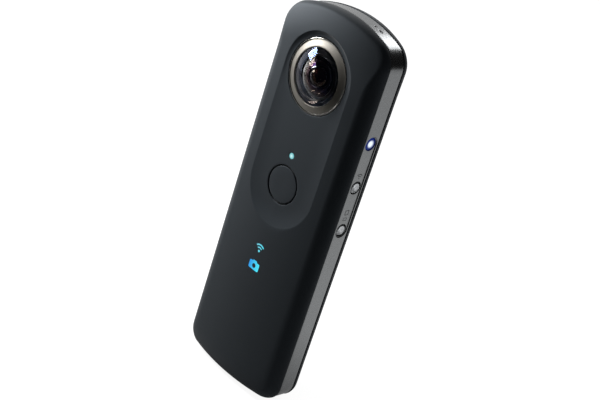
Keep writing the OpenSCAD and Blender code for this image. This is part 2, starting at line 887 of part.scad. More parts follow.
// Sheet between the board and the battery, held by the four lower frame screws
module mid_plate() {
    right = key_board_x - key_board_t - 4 * bite;
    left = lip_x - lip_t - running;
    tab = 3;
    tab_x = frame_inner_x - 7 * bite;
    color("#a9acae") difference() {
        union() {
            block([-left, right], [plate_y, plate_y + plate_t], [plate_base, plate_top]);
            for (z = [boss_z[0], boss_z[1]])
                block([-tab_x, tab_x], [plate_y, plate_y + plate_t], [max(z - tab, plate_base), z + tab]);
        }
        as_front() for (side = [-1, 1], z = boss_z)
            translate([side * boss_x, z, 0]) rod(pilot_r, -body_d, body_d);
    }
}

module frame_screws() {
    color("#77797c") as_front() for (side = [-1, 1], i = [0:2])
        translate([side * boss_x, boss_z[i], 0]) mirror([0, 0, 1])
            screw(plate_y + (i == 2 ? bar_t : plate_t) + glued, frame_screw_l);
}

module battery_pack() {
    corner = 2;
    color("#45484d") translate([0, battery_y, battery_z]) rotate([-90, 0, 0]) mirror([0, 1, 0])
        linear_extrude(battery_t) hull() for (x = [-1, 1], y = [corner, battery_h - corner])
            translate([x * (battery_w / 2 - corner), y]) circle(corner, $fn = 32);
}

// Metal shell round a tongue, open downwards
module socket(x, size, bevel) {
    wall = 0.3;
    tongue_t = 0.6;
    tongue_set = 1;
    inner = [size.x - 2 * wall, size.y - 2 * wall];
    color("#b4b7b9") translate([x, board_back + glued + size.y / 2, socket_mouth_z]) {
        difference() {
            linear_extrude(size.z) socket_shape([size.x, size.y - glued], bevel);
            translate([0, 0, -cut]) linear_extrude(size.z + cut - 2 * wall) socket_shape(inner, bevel);
        }
        translate([0, 0, tongue_set]) linear_extrude(size.z - tongue_set)
            square([0.55 * inner.x, tongue_t], center = true);
    }
}

module socket_shape(size, bevel) {
    x = size.x / 2;
    y = size.y / 2;
    polygon([[-x, y], [-x, -y + bevel], [-x + bevel, -y], [x - bevel, -y], [x, -y + bevel], [x, y]]);
}

module data_socket() { socket(data_x, data_size, 0.8); }
module video_socket() { socket(-video_x, video_size, 1.1); }

module speaker() {
    face = plate_y + plate_t + glued;
    cone_r = 3.4;
    cone_depth = 0.4;
    color("#2b2d30") translate([speaker_x, 0, 0]) difference() {
        centred(speaker_size, face, speaker_z);
        translate([0, face + speaker_size.y, speaker_z + speaker_size.z / 2]) rotate([-90, 0, 0])
            rod(cone_r, -cone_depth, cut);
    }
}

module microphone_seal() {
    window = [4.2, 1.4];
    rim = 0.6;
    color("#26282b") at_arch(mic_middle_angle) difference() {
        translate([0, 0, mic_seal_r - mic_seal_t])
            linear_extrude(mic_seal_t - bite) square([mic_size.x + rim, mic_size.y + rim], center = true);
        slot(window, top_arch_r);
    }
}

module microphone() {
    color("#c9a94e") at_arch(mic_middle_angle) translate([0, 0, mic_seal_r - mic_seal_t - glued - mic_size.z])
        linear_extrude(mic_size.z) square([mic_size.x, mic_size.y], center = true);
}

module antenna() {
    x = frame_inner_x - glued;
    film_t = 0.25;
    half = frame_half / 2;
    color("#c08a4a")
        block([-x, -x + film_t], [-half, half], [key_z[2] - antenna_below, key_z[0] - antenna_above]);
}

module front_lens_ring() { lens_ring(false); }
module rear_lens_ring() { lens_ring(true); }
module front_dome_lens() { dome_lens(false); }
module rear_dome_lens() { dome_lens(true); }
module front_second_lens() { second_lens(false); }
module rear_second_lens() { second_lens(true); }
module front_third_lens() { third_lens(false); }
module rear_third_lens() { third_lens(true); }
module front_lens_barrel() { lens_barrel(false); }
module rear_lens_barrel() { lens_barrel(true); }
module front_lens_seal() { lens_seal(false); }
module rear_lens_seal() { lens_seal(true); }
module front_prism() { prism(false); }
module rear_prism() { prism(true); }
module front_relay_lens() { relay_lens(false); }
module rear_relay_lens() { relay_lens(true); }
module front_image_sensor() { image_sensor(false); }
module rear_image_sensor() { image_sensor(true); }
module front_sensor_board() { sensor_board(false); }
module rear_sensor_board() { sensor_board(true); }
module front_sensor_flex() { sensor_flex(false); }
module rear_sensor_flex() { sensor_flex(true); }

front_cover();
rear_cover();
side_frame();
tripod_bush();
front_lens_ring();
rear_lens_ring();
front_dome_lens();
rear_dome_lens();
front_second_lens();
rear_second_lens();
front_third_lens();
rear_third_lens();
front_lens_barrel();
rear_lens_barrel();
front_lens_seal();
rear_lens_seal();
front_prism();
rear_prism();
front_relay_lens();
rear_relay_lens();
front_image_sensor();
rear_image_sensor();
front_sensor_board();
rear_sensor_board();
front_sensor_flex();
rear_sensor_flex();
sensor_screws();
lens_chassis();
shutter_button();
shutter_switch();
status_light_guide();
wireless_light_guide();
mode_light_guide();
indicator_leds();
power_button();
wireless_button();
mode_button();
side_key_board();
side_key_switches();
main_board();
processor();
memory_chip();
shield_can();
heat_pad();
board_screws();
mid_plate();
frame_screws();
battery_pack();
data_socket();
video_socket();
speaker();
microphone();
microphone_seal();
antenna();
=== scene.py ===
"""Slim twin-lens 360 degree camera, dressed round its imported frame."""

import math

import bmesh
import bpy
import numpy as np
from mathutils import Matrix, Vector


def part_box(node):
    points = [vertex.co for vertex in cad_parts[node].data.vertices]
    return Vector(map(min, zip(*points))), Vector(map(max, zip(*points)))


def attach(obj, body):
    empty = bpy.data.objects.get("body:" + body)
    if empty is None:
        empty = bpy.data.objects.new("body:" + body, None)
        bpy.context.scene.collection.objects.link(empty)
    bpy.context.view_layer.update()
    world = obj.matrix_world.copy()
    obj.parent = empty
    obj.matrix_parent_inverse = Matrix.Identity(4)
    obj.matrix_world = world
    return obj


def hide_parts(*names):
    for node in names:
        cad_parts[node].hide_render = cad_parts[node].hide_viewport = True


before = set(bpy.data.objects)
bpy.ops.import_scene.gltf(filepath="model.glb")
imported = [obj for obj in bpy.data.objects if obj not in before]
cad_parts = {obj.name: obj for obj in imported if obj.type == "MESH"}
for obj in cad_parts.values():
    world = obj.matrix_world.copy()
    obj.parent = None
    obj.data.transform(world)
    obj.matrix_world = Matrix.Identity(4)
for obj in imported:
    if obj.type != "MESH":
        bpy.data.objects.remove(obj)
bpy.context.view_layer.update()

bl_info = {
    "name": "Twin-lens 360 camera",
    "version": (1, 0, 0),
    "blender": (4, 5, 0),
    "location": "View3D > Sidebar > 360 camera",
    "description": "Builds the looks of a slim twin-lens camera on its solid frame",
    "category": "Object",
}

MM = 0.001
BODY = "camera_body"
# A point well inside the body, which its faces look away from
INSIDE = (0.0, 0.0, 65 * MM)
# Length to each side of the middle of the base over which the band makes room for the tripod bush
BASE_SPAN = 6 * MM
# Thickness of the band's sheet
BAND_WALL = 0.6 * MM


def linear(code):
    """Turns an sRGB hex colour into linear red, green, blue and alpha."""
    value = np.array([int(code[i:i + 2], 16) for i in (1, 3, 5)]) / 255
    curve = ((value + 0.055) / 1.055) ** 2.4
    return (*np.where(value <= 0.04045, value / 12.92, curve).tolist(), 1.0)


def size(label, text, millimetres):
    """A length that a user can change, given here in millimetres."""
    return bpy.props.FloatProperty(
        name=label, description=text, default=millimetres * MM, unit="LENGTH", precision=5
    )


def tint(label, text, code):
    """A colour that a user can change, given here as sRGB hex."""
    return bpy.props.FloatVectorProperty(
        name=label, description=text, default=linear(code), subtype="COLOR", size=4, min=0, max=1
    )


def middle(node, axis):
    """Middle of a solid's box along one axis, in millimetres."""
    low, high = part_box(node)
    return (low[axis] + high[axis]) / 2 / MM


class BodySizes(bpy.types.PropertyGroup):
    """Sizes of the covers and the band"""

    width: size("Width", "Across the two sides", 44)
    height: size("Height", "From the base to the top of the arch", 130)
    depth: size("Depth", "Over both covers along their middle", 17.9)
    band_width: size("Band width", "Between the edges of the two covers", 6.2)
    band_step: size("Band step", "How far the band lies below the covers' edges", 0.15)
    seam: size("Seam", "Shadow gap between the band and a cover", 0.2)
    edge_reach: size("Edge reach", "How far a cover's rounding reaches in", 4.4)
    crown_drop: size("Crown drop", "How much lower a cover is at its sides", 2.2)
    top_reach: size("Top reach", "How far in from the arched top a cover starts to fall", 11)
    top_drop: size("Top drop", "How much lower a cover is at its arched top", 2.4)
    top_edge: size("Top edge", "How far a cover's rounding reaches in at its arched top", 1.3)
    top_arch: size("Top arch", "Radius of the arched top", 46)
    top_corner: size("Top corner", "Radius of the top corners", 8.2)
    base_arch: size("Base arch", "Radius of the arched base", 130)
    base_corner: size("Base corner", "Radius of the base corners", 6.6)
    bush: size("Bush", "Radius of the tripod bush", 5.2)
    wall: size("Wall", "Wall of the covers", 1.2)


class LensSizes(bpy.types.PropertyGroup):
    """Sizes of the two lens stacks"""

    height: size("Height", "Lens axis above the base", middle("front_lens_ring", 2))
    ring: size("Ring", "Outer radius of a lens ring", 11.8)
    ring_gap: size("Ring gap", "Moat round a lens ring", 0.25)
    dome: size("Dome", "Radius of a dome lens", 9)
    tip: size("Tip", "Tip of a dome out from the middle of the body", 11.45)
    second: size("Second lens", "Radius of a second lens", 6.1)
    third: size("Third lens", "Radius of a third lens", 4)


class FrontSizes(bpy.types.PropertyGroup):
    """Sizes of the recess, the shutter and the lamps"""

    recess: size("Recess", "Radius of the recess at its crease", 13.9)
    recess_depth: size("Recess depth", "Below the middle of a cover", 1.15)
    scoop: size("Scoop", "Radius at which the recess floor starts to rise", 8.5)
    shutter_height: size("Shutter height", "Shutter axis above the base", middle("shutter_button", 2))
    shutter: size("Shutter", "Radius of the shutter button", 5.95)
    groove: size("Groove", "Groove round the shutter button", 0.5)
    status_height: size("Status lamp height", "Above the base", middle("status_light_guide", 2))
    status: size("Status lamp", "Radius of the status lamp", 0.95)
    wireless_height: size("Wireless lamp height", "Above the base", middle("wireless_light_guide", 2))
    mode_height: size("Mode lamp height", "Above the base", middle("mode_light_guide", 2))


class KeySizes(bpy.types.PropertyGroup):
    """Sizes of the side buttons and their channel"""

    top_height: size("Top button height", "Power button above the base", middle("power_button", 2))
    pitch: size("Pitch", "Between side buttons", middle("power_button", 2) - middle("wireless_button", 2))
    radius: size("Radius", "Radius of a side button", 1.9)
    gap: size("Gap", "Gap round a side button", 0.3)
    channel: size("Channel", "Half width of the channel", 2.42)
    channel_depth: size("Channel depth", "Below the band", 0.3)


class CameraColours(bpy.types.PropertyGroup):
    """Colours of what shows"""

    cover: tint("Cover", "Charcoal covers", "#24292e")
    cover_light: tint("Cover, light", "Lighter cloud in the covers", "#293035")
    band: tint("Band", "Metallic paint of the band", "#828485")
    flake: tint("Flake", "Bright flakes in the band's paint", "#909294")
    ring: tint("Ring", "Blasted aluminium of the lens rings", "#a19d95")
    rim: tint("Ring, rim", "Polished rim of the lens rings", "#dcdad5")
    key: tint("Key", "Spun metal of the side buttons", "#e0e3e6")
    key_dark: tint("Key, lit", "Metal of the lit power button", "#3a3d48")
    glow: tint("Power glow", "Light of the power button", "#eaf4ff")
    glow_edge: tint("Power glow edge", "Light in the power button's gap", "#122468")
    status: tint("Status light", "Light in the middle of the status lamp", "#d6ffff")
    status_edge: tint("Status light, edge", "Light at the edge of the status lamp", "#2fa6ae")
    wireless: tint("Wireless light", "Light of the wireless pictogram", "#7fc6d8")
    halo: tint("Wireless halo", "Glow between the waves of the wireless pictogram", "#123c46")
    mode: tint("Mode light", "Light of the mode pictogram", "#4be6fa")
    mode_edge: tint("Mode light, edge", "Light at the left of the mode pictogram", "#2a9aea")
    floor: tint("Floor", "Pale studio floor", "#8a8a8a")


# Mesh making


def read(items, name, width=1, kind=float):
    """One property of a mesh's items as an array, with a row of the given width for each item."""
    values = np.empty(len(items) * width, dtype=kind)
    items.foreach_get(name, values)
    return values.reshape(-1, width).squeeze()


def join_grids(name, grids, inside=INSIDE):
    """One mesh from grids of points, each an array of rows, columns and xyz with True if its columns
    close into a ring. Grid cells become faces, edges that meet are welded, faces turn away from the
    inside point, and open edges and edges past the crease angle are sharp."""
    weld, crease = 0.002 * MM, math.radians(38)
    points, faces, count = [], [], 0
    for grid, closed in grids:
        rows, columns = grid.shape[:2]
        index = count + np.arange(rows * columns).reshape(rows, columns)
        right = np.roll(index, -1, axis=1)
        last = None if closed else -1
        cell = [index[:-1, :last], right[:-1, :last], right[1:, :last], index[1:, :last]]
        faces.append(np.stack(cell, axis=-1).reshape(-1, 4))
        points.append(grid.reshape(-1, 3))
        count += rows * columns
    mesh = bpy.data.meshes.new(name)
    mesh.from_pydata(np.concatenate(points), [], np.concatenate(faces))
    shape = bmesh.new()
    shape.from_mesh(mesh)
    bmesh.ops.remove_doubles(shape, verts=shape.verts, dist=weld)
    bmesh.ops.recalc_face_normals(shape, faces=shape.faces)
    shape.to_mesh(mesh)
    shape.free()
    outward = read(mesh.polygons, "normal", 3) * (read(mesh.polygons, "center", 3) - inside)
    if (outward.sum(axis=1) * read(mesh.polygons, "area")).sum() < 0:
        mesh.flip_normals()
    mesh.polygons.foreach_set("use_smooth", np.ones(len(mesh.polygons), dtype=bool))
    mesh.set_sharp_from_angle(angle=crease)
    sharp = read(mesh.edges, "use_edge_sharp", kind=bool)
    faces_at = np.bincount(read(mesh.loops, "edge_index", kind=np.int32), minlength=len(sharp))
    mesh.edges.foreach_set("use_edge_sharp", sharp | (faces_at == 1))
    return mesh


def add_piece(mesh, material, body=BODY, slot=None, stands_for=(), wall=0.0):
    """A piece at the origin that rides on a body, with a wall grown inwards where one is given."""
    piece = bpy.data.objects.new(mesh.name, mesh)
    bpy.context.scene.collection.objects.link(piece)
    mesh.materials.append(material)
    if wall:
        grown = piece.modifiers.new("Wall", "SOLIDIFY")
        grown.thickness = wall
        grown.offset = -1
    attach(piece, body)
    if stands_for:
        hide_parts(*stands_for)
    return piece


def coords(*parts):
    """Points from their coordinates, which are spread to one shape."""
    return np.stack(np.broadcast_arrays(*parts), axis=-1)


def spun(profile, steps):
    """A profile of radius and height turned once round its axis: rows, columns, xyz."""
    turn = np.linspace(0, 2 * np.pi, steps, endpoint=False)
    radius, height = np.asarray(profile, float).T[:, :, None] * MM
    return coords(radius * np.cos(turn), radius * np.sin(turn), height)


def facing(points, height, way):
    """Turns points with their axis along z so that the axis leaves the front, rear or button side."""
    across, up, out = np.moveaxis(points, -1, 0)
    x, y = {"front": (across, -out), "rear": (-across, out), "side": (out, across)}[way]
    return coords(x, y, height + up)


def add_turned(name, profile, way, height, material, steps=128, **fastened):
    """A piece turned from its profile, with its axis at a height and leaving the body one way."""
    grid = facing(spun(profile, steps), height, way)
    mesh = join_grids(name, [(grid, True)], grid.reshape(-1, 3).mean(axis=0))
    return add_piece(mesh, material, **fastened)


def bow(centre, radius, first, last, steps):
    """Points of a profile's arc, from one angle to another in degrees."""
    turn = np.radians(np.linspace(first, last, steps))
    return coords(centre[0] + radius * np.cos(turn), centre[1] + radius * np.sin(turn))


def cap(radius, tip, edge_radius, steps):
    """Profile of a ball's cap from its tip out to an edge radius."""
    reach = np.linspace(0, edge_radius, steps)
    return coords(reach, tip - radius + np.sqrt(radius ** 2 - reach ** 2))


def outline_arcs(body):
    """The four arcs of the right half of the outline: centre x and z, radius, first and last angle."""
    half = body.width / 2
    base_x = half - body.base_corner
    base_z = body.base_arch - math.sqrt((body.base_arch - body.base_corner) ** 2 - base_x ** 2)
    base_turn = math.atan2(base_z - body.base_arch, base_x)
    arch_z = body.height - body.top_arch
    top_x = half - body.top_corner
    top_z = arch_z + math.sqrt((body.top_arch - body.top_corner) ** 2 - top_x ** 2)
    top_turn = math.atan2(top_z - arch_z, top_x)
    return np.array([
        [0, body.base_arch, body.base_arch, -math.pi / 2, base_turn],
        [base_x, base_z, body.base_corner, base_turn, 0],
        [top_x, top_z, body.top_corner, 0, top_turn],
        [0, arch_z, body.top_arch, top_turn, math.pi / 2],
    ])


def outline_starts(body):
    """Lengths along the right half at which base, corner, side, corner, top and the end begin."""
    arcs = outline_arcs(body)
    length = arcs[:, 2] * (arcs[:, 4] - arcs[:, 3])
    side = arcs[2, 1] - arcs[1, 1]
    return np.cumsum([0, length[0], length[1], side, length[2], length[3]])


def walk(body, u):
    """Outline at a length u from the middle of the base, up the button side and down the other:
    x, z and the inward normal."""
    arcs, starts = outline_arcs(body), outline_starts(body)
    total = 2 * starts[-1]
    along = np.mod(u, total)
    left = along > starts[-1]
    along = np.where(left, total - along, along)
    part = np.clip(np.searchsorted(starts, along, side="right") - 1, 0, 4)
    centre_x, centre_z, radius, first, _ = np.moveaxis(arcs[np.array([0, 1, 1, 2, 3])[part]], -1, 0)
    turn = first + (along - starts[part]) / radius
    straight = part == 2
    x = np.where(straight, body.width / 2, centre_x + radius * np.cos(turn))
    z = np.where(straight, arcs[1, 1] + along - starts[2], centre_z + radius * np.sin(turn))
    normal_x = np.where(straight, -1, -np.cos(turn))
    normal_z = np.where(straight, 0, -np.sin(turn))
    side = np.where(left, -1, 1)
    return x * side, z, normal_x * side, normal_z


def side_length(body, height):
    """Length along the outline at a height on the straight button side."""
    return outline_starts(body)[2] + height - outline_arcs(body)[1, 1]


def inset(body, x, z):
    """How far points inside the outline lie in from it: the nearest of the sides and the two arches,
    or the corner whose wedge holds the point."""
    arcs = outline_arcs(body)
    x = np.abs(x)
    near = np.minimum(body.width / 2 - x, arcs[0, 2] - np.hypot(x, z - arcs[0, 1]))
    near = np.minimum(near, arcs[3, 2] - np.hypot(x, np.maximum(z - arcs[3, 1], 0)))
    for centre_x, centre_z, radius, first, last in arcs[1:3]:
        turn = np.arctan2(z - centre_z, x - centre_x)
        wedge = (turn >= first) & (turn <= last)
        near = np.where(wedge, radius - np.hypot(x - centre_x, z - centre_z), near)
    return near


def near_top(body, x, z):
    """Nearness to the arched top: 1 on the arch and 0 from the top reach inwards."""
    _, arch_z, radius, _, _ = outline_arcs(body)[3]
    return np.clip(1 - (radius - np.hypot(x, np.maximum(z - arch_z, 0))) / body.top_reach, 0, 1)


def crown(body, x, z):
    """Height of a cover over the seam, falling with the square of the distance from the middle and
    with the square of the nearness to the arched top."""
    sides = body.crown_drop * (2 * x / body.width) ** 2
    return (body.depth - body.band_width) / 2 - sides - body.top_drop * near_top(body, x, z) ** 2


def edge_reach(body, x, z):
    """How far the rounded edge reaches in: wide along the sides and the base, tight at the arched top."""
    near = near_top(body, x, z)
    return body.edge_reach + (body.top_edge - body.edge_reach) * near * near * (3 - 2 * near)


def cover_height(body, x, z, reach):
    """Distance of a cover's outside from the middle of the body: a quarter ellipse over the reach of the
    edge, then the crown."""
    share = np.clip(inset(body, x, z) / reach, 0, 1)
    return body.band_width / 2 + crown(body, x, z) * np.sqrt(1 - (1 - share) ** 2)


def spread(breaks, step):
    """Values from the first break to the last, through every break, about a step apart."""
    runs = [
        np.linspace(a, b, max(2, math.ceil((b - a) / s) + 1))[:-1]
        for a, b, s in zip(breaks[:-1], breaks[1:], np.broadcast_to(step, len(breaks) - 1))
    ]
    return np.append(np.concatenate(runs), breaks[-1])


def between(values, low, high):
    """Which values lie from low to high, with both ends."""
    near = 1e-8
    return (values > low - near) & (values < high + near)


def loop_shape(turn, half, power):
    """Closed loop at polar angles: a circle at power 2, a rounded rectangle at high powers."""
    way = coords(np.cos(turn), np.sin(turn))
    reach = (np.abs(way / half) ** power).sum(axis=-1, keepdims=True) ** (-1 / power)
    return reach * way


def around_hole(points, centre, half, power, lip, depth, rows=5):
    """Rings from a convex loop of flat points in to a hole, over its rounded lip and down its wall.
    Columns go round by angle; the third value is the depth below the flat."""
    offset = points - centre
    turn = np.arctan2(offset[:, 1], offset[:, 0])
    order = np.argsort(turn)
    offset, turn = offset[order], turn[order]
    share = np.linspace(0, 1, rows)[:, None, None]
    edge = loop_shape(turn, np.add(half, lip), power)
    flat = offset * (1 - share) + edge * share
    flat = np.insert(flat, 2, 0, axis=-1)
    lip_steps, under_lip = 5, 1.5 * lip
    fall = np.linspace(0, math.pi / 2, lip_steps)[1:]
    grows = [*(lip * (1 - np.sin(fall))), 0.0, 0.0]
    depths = [*(lip * (1 - np.cos(fall))), under_lip, depth]
    walls = [
        np.insert(loop_shape(turn, np.add(half, grow), power), 2, down, axis=-1)
        for grow, down in zip(grows, depths)
    ]
    rings = np.concatenate([flat, np.stack(walls)])
    rings[:, :, :2] += centre
    return rings


def floor_cells(loop, cuts, holes, lip, depth, rows):
    """Splits a long floor inside a loop of points by lines across it, one cell for each hole, and runs
    each cell in to its hole. Points and holes are given across and along the floor."""
    line_points = 25
    width = np.abs(loop[:, 0]).max()
    inner = np.linspace(-width, width, line_points)[1:-1]
    ends = [-np.inf, *cuts, np.inf]
    cells = []
    for low, high, (along, radius) in zip(ends[:-1], ends[1:], holes):
        held = loop[between(loop[:, 1], low, high)]
        lines = [coords(inner, end) for end in (low, high) if np.isfinite(end)]
        points = np.concatenate([held, *lines])
        cells.append(around_hole(points, np.array([0, along]), (radius, radius), 2, lip, depth, rows))
    return cells


def ray_reach(body, foot, ray, reach, wanted):
    """Distances along rays at which the inset from the outline is as wanted, found by halving."""
    halvings = 48
    low = np.zeros_like(wanted)
    high = np.broadcast_to(reach, wanted.shape).copy()
    for _ in range(halvings):
        half = (low + high) / 2
        deeper = inset(body, foot[0] + ray[0] * half, foot[1] + ray[1] * half) > wanted
        low = np.where(deeper, half, low)
        high = np.where(deeper, high, half)
    return high


def recess_height(body, lens, front, rear, x, z):
    """Distance of the recess from the middle of the body: flat along its spine, then a curve that rises
    to the crown at the crease. Near the lens the flat is wider, to seat the ring."""
    seat_margin, narrowing, bend = 0.5 * MM, 1.6 * MM, 1.8
    floor = body.depth / 2 - front.recess_depth
    seat = lens.ring + seat_margin
    low = lens.height if rear else front.shutter_height
    foot = np.clip(z, low, lens.height)
    reach = np.hypot(x, z - foot)
    ray_x, ray_z = x / np.maximum(reach, MM), (z - foot) / np.maximum(reach, MM)
    crest = cover_height(body, ray_x * front.recess, foot + ray_z * front.recess, body.edge_reach)
    under_lens = np.sqrt(np.maximum(seat ** 2 - (lens.height - foot) ** 2, 0))
    low_start = front.scoop - narrowing * (1 - np.abs(ray_x))
    flat = np.maximum(np.where(z < low, low_start, front.scoop), under_lens)
    start = np.where(rear | (z > lens.height), seat, flat)
    share = np.clip((reach - start) / (front.recess - start), 0, 1)
    return floor + (crest - floor) * share ** bend


def cover_grids(body, lens, front, rear):
    """Outside of a cover as rays from the recess's spine out to the outline. Rows follow the rounded
    edge by its turn, cross the crown to the crease and run down the recess into the holes."""
    under_lamp, over_lamp, lamp_gap = 2.1 * MM, 10 * MM, 0.05 * MM
    base_step, corner_step, side_step, top_step = 0.7 * MM, 0.35 * MM, 1.1 * MM, 0.6 * MM
    edge_rows, crown_rows, fall_rows = 20, 23, 9
    base_end, edge_turn, crown_ease, floor_rim = 3 * MM, math.radians(75), 0.8, 12.9 * MM
    lip, wall_depth, floor_rows = 0.13 * MM, 1.5 * MM, 16
    half_band = body.band_width / 2
    low = lens.height if rear else front.shutter_height
    cuts = [] if rear else [front.status_height - under_lamp, front.status_height + over_lamp]
    starts = outline_starts(body)
    heights = sorted({low, *cuts, lens.height})
    breaks = [0, *starts[1:3], *[side_length(body, h) for h in heights], *starts[3:]]
    steps = [base_step, corner_step, *[side_step] * (len(heights) + 1), corner_step, top_step]
    right = spread(breaks, steps)
    u = np.concatenate([right, 2 * starts[-1] - right[-2:0:-1]])
    x, z, _, _ = walk(body, u)
    foot = np.stack([np.zeros_like(z), np.clip(z, low, lens.height)])
    ray = np.stack([x, z]) - foot
    reach = np.hypot(*ray)
    ray = ray / reach
    notch = np.where(z < base_end, np.sqrt(np.maximum((body.bush + body.seam) ** 2 - x ** 2, 0)), 0)
    first_y = np.maximum(half_band + body.seam / 2, notch)
    first = np.arcsin((first_y - half_band) / crown(body, x, z))
    turn = first + (edge_turn - first) * np.linspace(0, 1, edge_rows)[:, None]
    rounding = edge_reach(body, x, z)
    edge = ray_reach(body, foot, ray, reach, rounding * (1 - np.cos(turn)))
    share = np.linspace(0, 1, crown_rows + 1)[1:, None] ** crown_ease
    across = edge[-1] + (front.recess - edge[-1]) * share
    fall = np.linspace(front.recess, floor_rim, fall_rows + 1)[1:, None] + np.zeros(len(u))
    flat = foot[:, None] + ray[:, None] * np.concatenate([edge, across, fall])
    on_edge, on_crown, on_fall = np.split(flat, np.cumsum([edge_rows, crown_rows]), axis=1)
    y = np.concatenate([
        half_band + crown(body, *on_edge) * np.sin(turn),
        cover_height(body, *on_crown, rounding),
        recess_height(body, lens, front, rear, *on_fall),
    ])
    grids = [(coords(flat[0], -y, flat[1]), True)]
    holes = [(lens.height, lens.ring + lens.ring_gap)]
    if not rear:
        shutter = (front.shutter_height, front.shutter + front.groove)
        holes = [shutter, (front.status_height, front.status + lamp_gap), *holes]
    for cell in floor_cells(flat[:, -1].T, cuts, holes, lip, wall_depth, floor_rows):
        x, z, down = np.moveaxis(cell, -1, 0)
        floor = recess_height(body, lens, front, rear, x, z)
        grids.append((coords(x, down - floor, z), True))
    if rear:
        grids = [(grid * (-1, -1, 1), closed) for grid, closed in grids]
    return grids


def band_point(body, u, y, depth):
    """Point of the band at a length along the outline, a place across it and a depth below its face.
    Near the middle of the base the band ends on the tripod bush's circle."""
    near, bush_gap = BASE_SPAN, 0.05 * MM
    total = 2 * outline_starts(body)[-1]
    circle = np.sqrt((body.bush + bush_gap) ** 2 - y ** 2)
    u, y, depth, circle = np.broadcast_arrays(u, y, depth, circle)
    from_base = np.minimum(u, total - u)
    moved = np.where(from_base < near, circle + (near - circle) * from_base / near, from_base)
    u = np.where(u > total / 2, total - moved, moved)
    x, z, normal_x, normal_z = walk(body, u)
    down = body.band_step + depth
    return coords(x + normal_x * down, y, z + normal_z * down)


def frame_of(us, across):
    """Points along the four edges of a rectangle."""
    sides = [coords(us, edge) for edge in (across[0], across[-1])]
    ends = [coords(end, across[1:-1]) for end in (us[0], us[-1])]
    return np.concatenate([*sides, *ends])


